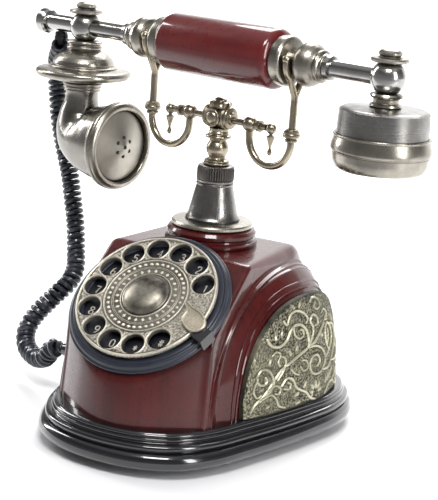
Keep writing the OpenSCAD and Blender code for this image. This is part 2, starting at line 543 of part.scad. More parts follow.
plinth();
bottom_plate();
rubber_feet();
bottom_screws();
body_shell();
left_side_panel();
right_side_panel();
pedestal_ring();
column_flange();
column_cone();
knurled_collar();
column_liner();
dial_backing();
number_plate();
finger_stop();
finger_stop_clip();
dial_frame();
circuit_board();
board_posts();
ringer();
line_jack();
cord_socket();
hook_bracket();
hook_switch();
finger_wheel();
dial_centre_cap();
dial_shaft();
main_gear();
governor_pinion();
plunger_rod();
plunger_spring();
cradle_stem();
cradle_hub();
hub_crown();
left_arm();
right_arm();
arm_finials();
left_fork();
right_fork();
handset_grip();
left_ferrule();
right_ferrule();
left_rod();
right_rod();
rod_end();
transmitter_ball();
receiver_ball();
transmitter_finial();
receiver_finial();
transmitter_disc();
transmitter_horn();
mouthpiece_ring();
mouthpiece_disc();
receiver_stem();
receiver_cup();
receiver_ring();
earpiece_cap();
cord_boot();
handset_cord();
cord_plug();
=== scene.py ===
"""Looks of the antique-style rotary telephone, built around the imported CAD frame."""
import json
import math

import bpy
import numpy as np
from mathutils import Matrix, Vector, geometry


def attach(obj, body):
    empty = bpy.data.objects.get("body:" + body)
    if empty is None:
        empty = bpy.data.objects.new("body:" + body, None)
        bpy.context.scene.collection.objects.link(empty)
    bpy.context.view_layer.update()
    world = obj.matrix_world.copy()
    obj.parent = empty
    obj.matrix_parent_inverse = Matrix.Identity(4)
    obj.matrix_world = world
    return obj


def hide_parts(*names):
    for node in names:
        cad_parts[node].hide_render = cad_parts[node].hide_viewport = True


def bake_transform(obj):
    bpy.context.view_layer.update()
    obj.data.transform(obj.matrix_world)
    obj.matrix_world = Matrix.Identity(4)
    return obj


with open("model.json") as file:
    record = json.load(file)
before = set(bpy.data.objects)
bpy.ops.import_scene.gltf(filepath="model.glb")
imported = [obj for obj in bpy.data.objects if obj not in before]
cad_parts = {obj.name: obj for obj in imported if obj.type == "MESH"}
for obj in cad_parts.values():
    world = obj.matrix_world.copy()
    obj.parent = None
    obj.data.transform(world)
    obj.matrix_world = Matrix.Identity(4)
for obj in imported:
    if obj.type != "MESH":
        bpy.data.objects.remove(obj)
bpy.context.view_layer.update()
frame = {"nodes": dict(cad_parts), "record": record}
nodes = frame["nodes"]
scene = bpy.context.scene
rng = np.random.default_rng(7)

# ---- frames, in millimetres
YAW = math.radians(-12)
AXIS_Z, BALL_X, FORK_X = 214.8, 110.4, 51.6
SIDES = ((-1, "left"), (1, "right"))
COL_X = ((152 * math.cos(YAW) + 2 * math.sin(-YAW)) - (BALL_X * math.cos(YAW) + 26.7)) / 2


def shift(x, y, z):
    return Matrix.Translation((x, y, z))


def turn(degrees, axis):
    return Matrix.Rotation(math.radians(degrees), 4, axis)


COLUMN = shift(COL_X, 21.5, 0)
CRADLE = COLUMN @ Matrix.Rotation(YAW, 4, "Z")
DIAL = COLUMN @ shift(0, -70, 87) @ turn(40, "X")
HANDSET = CRADLE @ shift(0, 0, AXIS_Z) @ turn(90, "Y")
MOUTH = CRADLE @ shift(-82, 0, 147.3) @ turn(90, "Y")


def place(points, m):
    """Points of the local frame m, in its outer frame."""
    a = np.array(m)
    return np.asarray(points, float).reshape(-1, 3) @ a[:3, :3].T + a[:3, 3]


def to_row(points, m):
    """Points in a local frame in mm, as row-frame metres."""
    return place(points, m) * 0.001


def unit(v):
    return v / np.linalg.norm(v, axis=-1, keepdims=True)


def travel(line):
    """The distance along a line at each of its points."""
    return np.r_[0, np.cumsum(np.linalg.norm(np.diff(line, axis=0), axis=1))]


def angles(n):
    return np.arange(n) * 2 * math.pi / n


def flip(faces):
    return [q[::-1] for q in faces]


def smooth_line(points, per=8, closed=False):
    """Catmull-Rom through the points, with per steps a span."""
    p = np.asarray(points, float)
    n = len(p)
    out = []
    for i in range(n if closed else n - 1):
        if closed:
            a, b, c, d = p[i - 1], p[i], p[(i + 1) % n], p[(i + 2) % n]
        else:
            a, b, c, d = p[max(0, i - 1)], p[i], p[i + 1], p[min(n - 1, i + 2)]
        for t in np.arange(per) / per:
            out.append(0.5 * (2 * b + (c - a) * t + (2 * a - 5 * b + 4 * c - d) * t ** 2
                              + (3 * b - a - 3 * c + d) * t ** 3))
    if not closed:
        out.append(p[-1])
    return np.array(out)


def even(line, step):
    """The line resampled at about equal steps."""
    d = travel(line)
    n = max(2, int(round(d[-1] / step)) + 1)
    s = np.linspace(0, d[-1], n)
    return np.stack([np.interp(s, d, line[:, k]) for k in range(line.shape[1])], 1)


def rounded(profile, r=0.35, n=3):
    """A turned profile with each inner corner rounded."""
    p = [np.array(q, float) for q in profile]
    out = [p[0]]
    for a, b, c in zip(p, p[1:], p[2:]):
        la, lc = np.linalg.norm(a - b), np.linalg.norm(c - b)
        if min(la, lc) < 1e-6:
            continue
        u, v = (a - b) / la, (c - b) / lc
        if abs(np.dot(u, v) + 1) < 0.02:
            out.append(b)
            continue
        k = min(r, 0.45 * la, 0.45 * lc)
        for t in np.linspace(0, 1, n + 1):
            out.append((1 - t) ** 2 * (b + u * k) + 2 * t * (1 - t) * b + t ** 2 * (b + v * k))
    out.append(p[-1])
    return out


# ---- meshes
def add(name, data):
    """A new object of this data, in the scene."""
    obj = bpy.data.objects.new(name, data)
    scene.collection.objects.link(obj)
    return obj


def piece(name, part, material, body, m=None, slot=None, replaces=(), sharp=38, height=None):
    """A mesh piece that rides on a body. part is its vertices and faces, in mm in frame m, or in row metres
    when m is None. height is a number per vertex that the material reads."""
    co = np.asarray(part[0], float) if m is None else to_row(part[0], m)
    mesh = bpy.data.meshes.new(name)
    mesh.from_pydata([tuple(v) for v in co], [], [tuple(f) for f in part[1]])
    mesh.validate()
    mesh.update()
    mesh.polygons.foreach_set("use_smooth", [True] * len(mesh.polygons))
    mesh.set_sharp_from_angle(angle=math.radians(sharp))
    obj = add(name, mesh)
    mesh.materials.append(material)
    if body:
        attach(obj, body)
    if replaces:
        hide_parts(*replaces)
    if height is not None:
        heights = mesh.attributes.new("height", "FLOAT", "POINT")
        heights.data.foreach_set("value", np.asarray(height, np.float32))
    return obj


def circle(x, y, r, n):
    return np.c_[x + r * np.cos(angles(n)), y + r * np.sin(angles(n))]


def hoops(rows, n, close=False, back=False):
    """Quads between closed rows of n vertices. close joins the last row to the first, back turns them over."""
    quads = [(k * n + i, k * n + (i + 1) % n, (k + 1) % rows * n + (i + 1) % n, (k + 1) % rows * n + i)
             for k in range(rows if close else rows - 1) for i in range(n)]
    return [q[:1] + q[:0:-1] for q in quads] if back else quads


def fluted(rows, wave, close=False):
    """A turned form of (radius, height, share) rows, with that share of a wave added to each radius."""
    n = len(wave)
    c, s = circle(0, 0, 1, n).T
    return np.concatenate([np.c_[(r + k * wave) * c, (r + k * wave) * s, np.full(n, z)]
                           for r, z, k in rows]), hoops(len(rows), n, close)


def lathe(profile, seg=96, closed=False):
    """Vertices and faces of a turned profile of (radius, height)."""
    verts, rings = [], []
    for r, z in profile:
        if r < 1e-6:
            rings.append([len(verts)])
            verts.append((0, 0, z))
        else:
            rings.append(list(range(len(verts), len(verts) + seg)))
            verts += [(r * math.cos(t), r * math.sin(t), z) for t in angles(seg)]
    faces = []
    pairs = list(zip(rings, rings[1:])) + ([(rings[-1], rings[0])] if closed else [])
    for p, q in pairs:
        for i in range(seg):
            j = (i + 1) % seg
            f = [p[i % len(p)], p[j % len(p)], q[j % len(q)], q[i % len(q)]]
            f = [v for k, v in enumerate(f) if v not in f[:k]]
            if len(f) > 2:
                faces.append(f)
    return verts, faces


def turned(name, profile, material, body, m, r=0.35, seg=96, closed=False, **kw):
    """A turned piece of a (radius, height) profile, its faces outward whichever way the profile runs."""
    v, f = lathe(rounded(profile, r), seg, closed)
    area = sum(a[0] * b[1] - b[0] * a[1] for a, b in zip(profile, list(profile[1:]) + [profile[0]]))
    if area < 0:
        f = flip(f)
    return piece(name, (v, f), material, body, m, **{"slot": "antique_nickel", "sharp": 60, **kw})


def carried(line):
    """Two side directions carried along a 3-D line."""
    t = unit(np.gradient(line, axis=0))
    u = [unit(np.cross(t[0], [0.31, 0.94, 0.12]))]
    for step in t[1:]:
        u.append(unit(u[-1] - step * np.dot(u[-1], step)))
    return np.array(u), np.cross(t, u)


def tube(line, radius, sides):
    """Vertices and faces of a capped round bar along a line."""
    line = np.asarray(line, float)
    u, w = carried(line)
    c, s = [q[None, :, None] for q in circle(0, 0, 1, sides).T]
    verts = (line[:, None] + radius * (u[:, None] * c + w[:, None] * s)).reshape(-1, 3)
    last = (len(line) - 1) * sides
    return verts, hoops(len(line), sides) + [tuple(range(sides - 1, -1, -1)), tuple(range(last, last + sides))]


def join(*parts):
    """Several (verts, faces) as one."""
    verts, faces, k = [], [], 0
    for v, f in parts:
        verts.append(np.asarray(v, float).reshape(-1, 3))
        faces += [tuple(i + k for i in q) for q in f]
        k += len(verts[-1])
    return np.concatenate(verts), faces


def moved(part, m):
    return place(part[0], m), part[1]


def grid(nu, nv):
    """Quads of an nu by nv grid of vertices, u outermost."""
    return [(i * nv + j, (i + 1) * nv + j, (i + 1) * nv + j + 1, i * nv + j + 1)
            for i in range(nu - 1) for j in range(nv - 1)]


# ---- materials
class Nodes:
    """Short helpers for the nodes of a material or a world."""

    def __init__(self, tree, coordinates):
        self.t = tree
        self.pos = tree.nodes.new("ShaderNodeTexCoord").outputs[coordinates]

    def feed(self, socket, value):
        if isinstance(value, bpy.types.NodeSocket):
            self.t.links.new(value, socket)
        else:
            socket.default_value = value

    def node(self, kind, **inputs):
        n = self.t.nodes.new("ShaderNode" + kind)
        for k, v in inputs.items():
            name = k.replace("_", " ")
            if name in n.inputs.keys():
                self.feed(n.inputs[name], v)
            else:
                setattr(n, k, v)
        return n

    def stretch(self, sx, sy, sz):
        return self.node("Mapping", Vector=self.pos, Scale=(sx, sy, sz)).outputs["Vector"]

    def noise(self, scale, detail=4, rough=0.55, vector=None):
        return self.node("TexNoise", Vector=vector or self.pos, Scale=scale, Detail=detail,
                         Roughness=rough).outputs["Fac"]

    def ramp(self, fac, stops):
        n = self.node("ValToRGB", Fac=fac)
        e = n.color_ramp.elements
        while len(e) < len(stops):
            e.new(stops[len(e)][0])
        for k, (p, c) in enumerate(stops):
            e[k].position, e[k].color = p, (*c, 1)
        return n.outputs["Color"]

    def value(self, fac, lo, hi, a=0.3, b=0.7, **kw):
        """fac from a to b, mapped to lo to hi."""
        n = self.node("MapRange", Value=fac, From_Min=a, From_Max=b, To_Min=lo, To_Max=hi, **kw)
        return n.outputs["Result"]

    def mix(self, fac, a, b, kind="MIX"):
        n = self.node("Mix", data_type="RGBA", blend_type=kind)
        for k, v in ((0, fac), (6, a), (7, b)):
            self.feed(n.inputs[k], (*v, 1) if isinstance(v, tuple) else v)
        return n.outputs[2]

    def math(self, op, a, b):
        n = self.node("Math", operation=op)
        self.feed(n.inputs[0], a)
        self.feed(n.inputs[1], b)
        return n.outputs[0]

    def attr(self, name):
        return self.node("Attribute", attribute_name=name).outputs["Fac"]

    def cavity(self, distance):
        return self.node("AmbientOcclusion", samples=8, Distance=distance).outputs["AO"]


class Shader(Nodes):
    """A principled material."""

    def __init__(self, name, **sockets):
        self.mat = bpy.data.materials.new(name)
        self.mat.use_nodes = True
        super().__init__(self.mat.node_tree, "Object")
        self.b = self.t.nodes["Principled BSDF"]
        for k, v in sockets.items():
            self.b.inputs[k.replace("_", " ")].default_value = v

    def bump(self, height, strength, distance):
        self.to(self.node("Bump", Height=height, Strength=strength, Distance=distance).outputs["Normal"],
            "Normal")

    def to(self, socket, name):
        self.t.links.new(socket, self.b.inputs[name])


def lacquer(name, dark, light, rough=0.3, streak=(240, 240, 14), coat=1.0):
    """Deep gloss lacquer over a slightly streaky colour coat, with painted shade darkening it in creases."""
    s = Shader(name, Roughness=rough, Coat_Weight=coat, Coat_Roughness=0.045, Specular_IOR_Level=0.15)
    streaks = s.noise(1.0, 5, 0.6, s.stretch(*streak))
    clouds = s.noise(26, 3)
    f = s.math("ADD", s.math("MULTIPLY", streaks, 0.55), s.math("MULTIPLY", clouds, 0.45))
    colour = s.ramp(f, [(0.36, dark), (0.62, light)])
    # painted shade: the AO node darkens the colour towards a deeper burgundy in creases and where parts meet
    ao = s.cavity(0.006)
    colour = s.mix(s.value(ao, 0.7, 0.0, 0.2, 0.8), colour, tuple(c * 0.3 for c in dark))
    s.to(colour, "Base Color")
    s.to(s.value(s.noise(180, 2), rough - 0.06, rough + 0.08), "Roughness")
    s.bump(s.noise(60, 2), 0.03, 0.0006)
    return s.mat


def antique(name, light, dark, rough=0.24, brush=None, grime=0.8, tone=0.5):
    """Plated metal with brown-black patina held in its corners. brush is the scale of fine brushing."""
    s = Shader(name, Metallic=1.0, Roughness=rough)
    patch = s.noise(55, 5, 0.62)
    colour = s.ramp(patch, [(0.3, tuple(a * (1 - tone) + b * tone for a, b in zip(light, dark))),
                            (0.62, light)])
    ao = s.cavity(0.0035)
    fine = s.noise(700, 3, 0.6)
    hold = s.math("MULTIPLY", s.value(ao, 1.0, 0.0, 0.3, 0.88), s.value(fine, 0.65, 1.15))
    colour = s.mix(s.math("MULTIPLY", hold, grime), colour, dark)
    s.to(colour, "Base Color")
    r = s.math("ADD", s.value(patch, rough + 0.1, rough - 0.04), s.math("MULTIPLY", hold, 0.25))
    if brush:
        lines = s.noise(1.0, 3, 0.7, s.stretch(*brush))
        s.bump(lines, 0.22, 0.0002)
        r = s.math("ADD", r, s.value(lines, -0.04, 0.06))
    else:
        s.bump(s.noise(420, 3), 0.1, 0.0002)
    s.to(r, "Roughness")
    return s.mat


def gilding(name, by_height, light=(0.7, 0.67, 0.5), mid=(0.4, 0.38, 0.265), dark=(0.012, 0.011, 0.01)):
    """Aged gilt: pale on what stands high, dark in what lies low."""
    s = Shader(name, Metallic=0.75, Roughness=0.42)
    grain = s.noise(900, 4, 0.65)
    cloud = s.noise(40, 4, 0.6)
    if by_height:
        h = s.math("ADD", s.attr("height"), s.value(grain, -0.16, 0.16))
        colour = s.ramp(h, [(0.12, dark), (0.36, mid), (0.78, light)])
    else:
        ao = s.cavity(0.0015)
        h = s.math("ADD", s.value(ao, 0.1, 1.0, 0.5, 1.0), s.value(grain, -0.2, 0.1))
        colour = s.ramp(h, [(0.15, dark), (0.55, mid), (0.95, light)])
    colour = s.mix(s.value(cloud, 0.55, 0.0, 0.36, 0.6), colour, tuple(0.45 * c for c in mid))
    s.to(colour, "Base Color")
    s.to(s.value(h, 0.62, 0.34, 0.1, 0.8), "Roughness")
    s.bump(grain, 0.25, 0.0002)
    return s.mat


def plain(name, colour, rough, metallic=0.0, scale=300, bump=0.15, coat=0.0):
    """A plain surface with a little grain."""
    s = Shader(name, Metallic=metallic, Roughness=rough, Coat_Weight=coat, Coat_Roughness=0.06)
    f = s.noise(scale, 4)
    s.to(s.ramp(f, [(0.3, tuple(c * 0.82 for c in colour)), (0.7, colour)]), "Base Color")
    s.to(s.value(f, rough - 0.05, rough + 0.07), "Roughness")
    s.bump(f, bump, 0.0002)
    return s.mat


BURGUNDY = lacquer("burgundy_lacquer", (0.04, 0.0036, 0.0034), (0.074, 0.0068, 0.0058), coat=0.72)
GRIP = lacquer("burgundy_grip", (0.085, 0.0075, 0.0085), (0.125, 0.013, 0.013), streak=(14, 240, 240))
BLACK = plain("black_moulding", (0.008, 0.008, 0.01), 0.16, scale=120, bump=0.08, coat=1.0)
NICKEL = antique("antique_nickel", (0.43, 0.4, 0.345), (0.035, 0.031, 0.026))
CONE = antique("cone_metal", (0.29, 0.28, 0.265), (0.02, 0.019, 0.018), 0.24, (900, 900, 12))
BRUSHED = antique("brushed_nickel", (0.31, 0.3, 0.285), (0.03, 0.028, 0.025), 0.25, (60, 60, 2600))
BRONZE = antique("antique_arms", (0.44, 0.385, 0.29), (0.04, 0.033, 0.024), 0.25)
GILT_RELIEF = gilding("gilt_relief", True)
GILT = gilding("gilt_plain", False)
WHEEL = gilding("wheel_metal", True, (0.92, 0.87, 0.74), (0.68, 0.635, 0.53), (0.09, 0.082, 0.068))
WHEEL_PLAIN = gilding("stop_metal", True, (0.66, 0.6, 0.48), (0.44, 0.39, 0.3), (0.1, 0.085, 0.065))
MEDAL = antique("medallion_metal", (0.4, 0.37, 0.31), (0.02, 0.018, 0.016), 0.4, tone=1.0)
HORN_METAL = antique("horn_metal", (0.28, 0.265, 0.24), (0.03, 0.027, 0.023), 0.22, tone=0.25)
DISC = antique("disc_brushed", (0.44, 0.41, 0.355), (0.03, 0.027, 0.023), 0.3, tone=0.3)
BORE = plain("voice_hole", (0.004, 0.004, 0.004), 0.6)
ROD_METAL = antique("rod_metal", (0.52, 0.51, 0.49), (0.03, 0.027, 0.024), 0.16, tone=0.3)
DARK_METAL = antique("collar_metal", (0.3, 0.28, 0.26), (0.02, 0.018, 0.016), 0.26)
SLATE = plain("dial_slate", (0.016, 0.019, 0.032), 0.34, scale=200, bump=0.1, coat=0.1)
PLATE = plain("number_plate", (0.006, 0.007, 0.011), 0.3, coat=0.3)
INK = plain("dial_digits", (0.62, 0.58, 0.5), 0.5)
CORD = plain("cord_jacket", (0.02, 0.024, 0.036), 0.3, scale=500, bump=0.1, coat=0.4)
STEEL = plain("plain_steel", (0.55, 0.55, 0.56), 0.32, metallic=1.0)
BRASS = plain("plain_brass", (0.62, 0.45, 0.2), 0.3, metallic=1.0)
RUBBER = plain("foot_rubber", (0.012, 0.012, 0.012), 0.75, scale=800, bump=0.3)
BOARD = plain("circuit_board", (0.02, 0.1, 0.04), 0.4, scale=600)

BY_SLOT = {"burgundy_lacquer": BURGUNDY, "black_moulding": BLACK, "gilt": GILT,
           "antique_nickel": NICKEL, "dial_ring": SLATE, "brass": BRASS, "steel": STEEL,
           "rubber": RUBBER, "board": BOARD, "cord": CORD}
SPECIAL = {"handset_grip": GRIP, "number_plate": PLATE, "column_cone": CONE, "receiver_cup": BRUSHED,
    **dict.fromkeys(("left_rod", "right_rod", "rod_end", "transmitter_ball", "receiver_ball"), ROD_METAL),
    **dict.fromkeys(("left_arm", "right_arm", "left_fork", "right_fork"), BRONZE)}


def dress(obj, name, slot):
    """A carried-over CAD node: its material, welded seams and smooth shading split at sharp edges."""
    obj.data.materials.clear()
    obj.data.materials.append(SPECIAL.get(name, BY_SLOT[slot]))
    obj.data.polygons.foreach_set("use_smooth", [True] * len(obj.data.polygons))
    weld = obj.modifiers.new("weld", "WELD")
    weld.merge_threshold = 2e-6
    split = obj.modifiers.new("edges", "EDGE_SPLIT")
    split.split_angle = math.radians(32)


for part in frame["record"]["subparts"]:
    dress(nodes[part["node"]], part["node"], part["material_slot"])

# ---- camera
FOCAL_PX, IMAGE_H, SENSOR = 1500, 500, 36
AZ, EL, ROLL = math.radians(27.45), math.radians(13.94), math.radians(4.29)
EYE = Vector((399.3, -722.1, 308.5)) * 0.001
back = Vector((math.sin(AZ) * math.cos(EL), -math.cos(AZ) * math.cos(EL), math.sin(EL)))
right = Vector((math.cos(AZ), math.sin(AZ), 0))
up = back.cross(right)
right, up = (right * math.cos(ROLL) + up * math.sin(ROLL),
             up * math.cos(ROLL) - right * math.sin(ROLL))
camera = add("camera", bpy.data.cameras.new("camera"))
camera.data.sensor_width = SENSOR
camera.data.lens = FOCAL_PX / IMAGE_H * SENSOR
camera.data.clip_start, camera.data.clip_end = 0.02, 60
camera.matrix_world = Matrix.Translation(EYE) @ Matrix((right, up, back)).transposed().to_4x4()
scene.camera = camera

# ---- cord
CORD_ROUTE = [(-131, 0, 203.9), (-131.8, 0.6, 200.8), (-138.5, 6.5, 197), (-147.4, 13, 189.3),
    (-149.4, 15.5, 179.4), (-149.3, 16.5, 169.7), (-147.2, 16.4, 156.5), (-143.5, 16, 144.5),
    (-137.3, 15, 129.9), (-131.8, 14, 118.1), (-125.9, 12, 103.1), (-120.5, 10, 88.2), (-115.9, 7, 73.2),
    (-110.6, 2, 63.5), (-107.4, -6, 56.4), (-108.9, -14, 50.1), (-113.6, -20, 42.2), (-117.3, -26, 33.8),
    (-116.7, -32, 25.9), (-110.1, -37, 19), (-97.5, -41, 16.6), (-85, -44.8, 20.6), (-77.1, -46.9, 28.6),
    (-69.2, -45.3, 30)]
WIRE_R, COIL_R, PITCH, TURN_STEPS = 1.72, 4.4, 3.7, 20


def curly_cord():
    """The jacketed wire, wound along the route."""
    axis = even(smooth_line(CORD_ROUTE, 12), 0.5)
    u, w = carried(axis)
    s = travel(axis)
    total = s[-1]
    turns = round(total / PITCH)
    steps = turns * TURN_STEPS
    at = np.linspace(0, total, steps + 1)
    ang = np.linspace(0, turns * 2 * math.pi, steps + 1)
    c, uu, ww = [np.stack([np.interp(at, s, q[:, k]) for k in range(3)], 1) for q in (axis, u, w)]
    grow = np.clip(np.minimum(at / 5, (total - at) / 6), 0, 1)     # the coil opens and closes at its ends
    r = COIL_R * grow * grow * (3 - 2 * grow)
    line = c + r[:, None] * (uu * np.cos(ang)[:, None] + ww * np.sin(ang)[:, None])
    line = even(line, 1.35)
    return to_row(line, CRADLE), tube(line, WIRE_R, 8)


cord_line, part = curly_cord()
coil = piece("curly_cord", part, CORD, None, CRADLE, slot="cord", replaces=["handset_cord"])
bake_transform(coil)

# ---- body
PLINTH_TOP, DECK_Z, DECK_FRONT, DECK_BACK, HOOD, CORNER = 24, 105, -36, 35, 44.5, 12
ARCH_Y, ARCH_Z = 8, 20                    # the middle of the side arches' feet
# front reach, back reach, height and roundness of the arches
ROLL_ARCH, PANEL_ARCH = (84, 58, 78, 2.2), (62, 46, 64, 2.4)


def half_width(z):
    return HOOD + 2.5 * (DECK_Z - z) / 81


def front_y(x, z):
    s = DECK_FRONT - (DECK_Z - z) / math.tan(math.radians(40))
    b = -103 + 0.085 * (z - PLINTH_TOP) + 23 * (x / half_width(z)) ** 2
    return np.maximum(s, b) + 2 * np.log1p(np.exp(-np.abs(s - b) / 2))


def back_y(z):
    return DECK_BACK + 25.5 * (np.maximum(0, DECK_Z - z) / 81) ** 0.62


def arch(y, z, rf, rb, rz, n):
    """The level of a point: 1 on the arch, less inside it."""
    return (np.abs((y - ARCH_Y) / np.where(y < ARCH_Y, rf, rb)) ** n
            + (np.maximum(0, z - ARCH_Z) / rz) ** n) ** (1 / n)


def taper(y):
    """How far the sides draw in toward the front and the back."""
    return np.where(y < ARCH_Y, 0.13 * (ARCH_Y - y), np.where(y > 28, 0.011 * (y - 28) ** 2, 0))


def corner_in(y, yb):
    """How far the rounded corner draws in near the back plane yb."""
    return CORNER * (1 - np.sqrt(1 - np.clip((y - yb) / CORNER + 1, 0, 1) ** 2))


def arch_point(a, th, rf, rb, rz, n):
    """The point of the arch of level a at angle th, 0 at the front foot, pi at the back foot."""
    c, s = np.cos(th), np.maximum(np.sin(th), 0)
    y = ARCH_Y - a * np.where(c > 0, rf, rb) * np.sign(c) * np.abs(c) ** (2 / n)
    return y, ARCH_Z + a * rz * s ** (2 / n)


def bend(p, q, r, n):
    """n points of the curve from p to r that q pulls."""
    return [(1 - t) ** 2 * np.array(p) + 2 * t * (1 - t) * np.array(q) + t * t * np.array(r)
            for t in np.linspace(0, 1, n + 2)[1:-1]]


def hood():
    """The middle of the body: bulged foot, sloped dial face, flat deck and falling back."""
    zf = np.linspace(22, 103.4, 80)
    deck_y = np.linspace(DECK_FRONT + 3, DECK_BACK - 9, 26)
    zb = np.linspace(95, 22, 44)
    xs = np.linspace(-1, 1, 45)
    rows = []
    for x in xs:
        pf = np.stack([front_y(x * half_width(zf), zf), zf], 1)
        pd = np.stack([deck_y, np.full(len(deck_y), DECK_Z)], 1)
        pb = np.stack([back_y(zb), zb], 1)
        rows.append(np.concatenate([pf, bend(pf[-1], (DECK_FRONT, DECK_Z), pd[0], 5), pd,
                                    bend(pd[-1], (DECK_BACK + 0.5, DECK_Z), pb[0], 12), pb]))
    rows = np.array(rows)                      # x, s, (y, z)
    t = unit(np.gradient(rows, axis=1))
    normal = np.stack([-t[:, :, 1], t[:, :, 0]], 2)   # outward: to the front, up, to the back
    # the long side edges are tight along the dial face and soft at the back
    edge = np.interp(rows[22][:, 0], [-103, -80, -40, -20, 15, 60], [3.2, 2.0, 2.2, 4.5, 8.0, 8.0])
    side = half_width(rows[-1][:, 1])
    mid = [np.stack([x * (side - edge), line[:, 0], line[:, 1]], 1) for x, line in zip(xs, rows)]
    tail = []
    for ph in np.radians([10, 20, 30, 40, 50, 60, 70, 80, 90]):
        q = rows[-1] - normal[-1] * (edge * (1 - math.cos(ph)))[:, None]
        tail.append(np.stack([side - edge + edge * math.sin(ph), q[:, 0], q[:, 1]], 1))
    for more in (0.6, 2.0):
        q = rows[-1] - normal[-1] * (edge + more)[:, None]
        tail.append(np.stack([side, q[:, 0], q[:, 1]], 1))
    strips = [q * [-1, 1, 1] for q in tail[::-1]] + mid + tail
    v = np.concatenate(strips)
    hx = half_width(v[:, 2])
    over = np.clip(np.abs(v[:, 0]) - (hx - CORNER), 0, CORNER)
    go = np.clip((v[:, 1] - 6) / 26, 0, 1)
    v[:, 1] -= (CORNER - np.sqrt(CORNER ** 2 - over ** 2)) * go * go * (3 - 2 * go)
    n_u, n_s, k = len(strips), rows.shape[1], len(v)
    faces = flip(grid(n_u, n_s))
    v = np.concatenate([v, [[-HOOD, -15, 45], [HOOD, -15, 45]]])
    ring0, ring1 = list(range(n_s)), list(range((n_u - 1) * n_s, n_u * n_s))
    faces += [(ring0[i], ring0[(i + 1) % n_s], k) for i in range(n_s)]
    faces += [(ring1[(i + 1) % n_s], ring1[i], k + 1) for i in range(n_s)]
    return v, faces


piece("body_hood", hood(), BURGUNDY, "base", COLUMN, slot="burgundy_lacquer", replaces=["body_shell"], sharp=50)


def roll_height(a):
    """How far the side roll stands out of the hood at arch level a."""
    h = 14 * np.sqrt(np.clip((1 - a) / 0.21, 0, 1))
    for at, high, wide in ((0.996, 1.0, 0.0055), (0.981, -0.5, 0.004), (0.972, 0.55, 0.004)):
        h = h + high * np.exp(-((a - at) / wide) ** 2)
    return h


def side_roll(s):
    """The rounded moulding that arches over each side, with a fine line along its edge."""
    th = np.linspace(0, math.pi, 141)
    lv = np.r_[1.03, np.linspace(1.012, 0.955, 44), np.linspace(0.95, 0.78, 30), np.linspace(0.76, 0.55, 8)]
    verts = []
    for t in th:
        y, z = arch_point(lv, t, *ROLL_ARCH)
        z = np.maximum(z, PLINTH_TOP - 0.5)
        y = np.minimum(y, back_y(z) - 0.3)
        hx = half_width(z)
        x = hx - 1.2 + np.maximum(0, 1.2 + roll_height(lv) - taper(y) * np.clip((1.0 - lv) / 0.04, 0, 1))
        x = np.where(lv > 1.02, hx - 1.2, x) - corner_in(y, back_y(z))
        verts.append(np.stack([s * x, y, z], 1))
    faces = grid(len(th), len(lv))
    if s > 0:
        faces = flip(faces)
    return np.concatenate(verts), faces


def panel_x(y, z):
    r = np.clip(arch(y, z, *PANEL_ARCH), 0, 1)
    return half_width(z) + 14 - taper(y) + 2.2 + 11.3 * (1 - r ** 1.5) ** 0.62


def panel_beads(s):
    """Two thin beads along the panel's edge."""
    parts = []
    for level, r in ((1.035, 0.95), (1.085, 0.6)):
        y, z = arch_point(level, np.linspace(0.02, math.pi - 0.02, 120), *PANEL_ARCH)
        a = arch(y, z, *ROLL_ARCH)
        x = half_width(z) + roll_height(a) - taper(y) - corner_in(y, back_y(z))
        parts.append(tube(np.stack([s * x, y, z], 1), r, 8))
    return join(*parts)


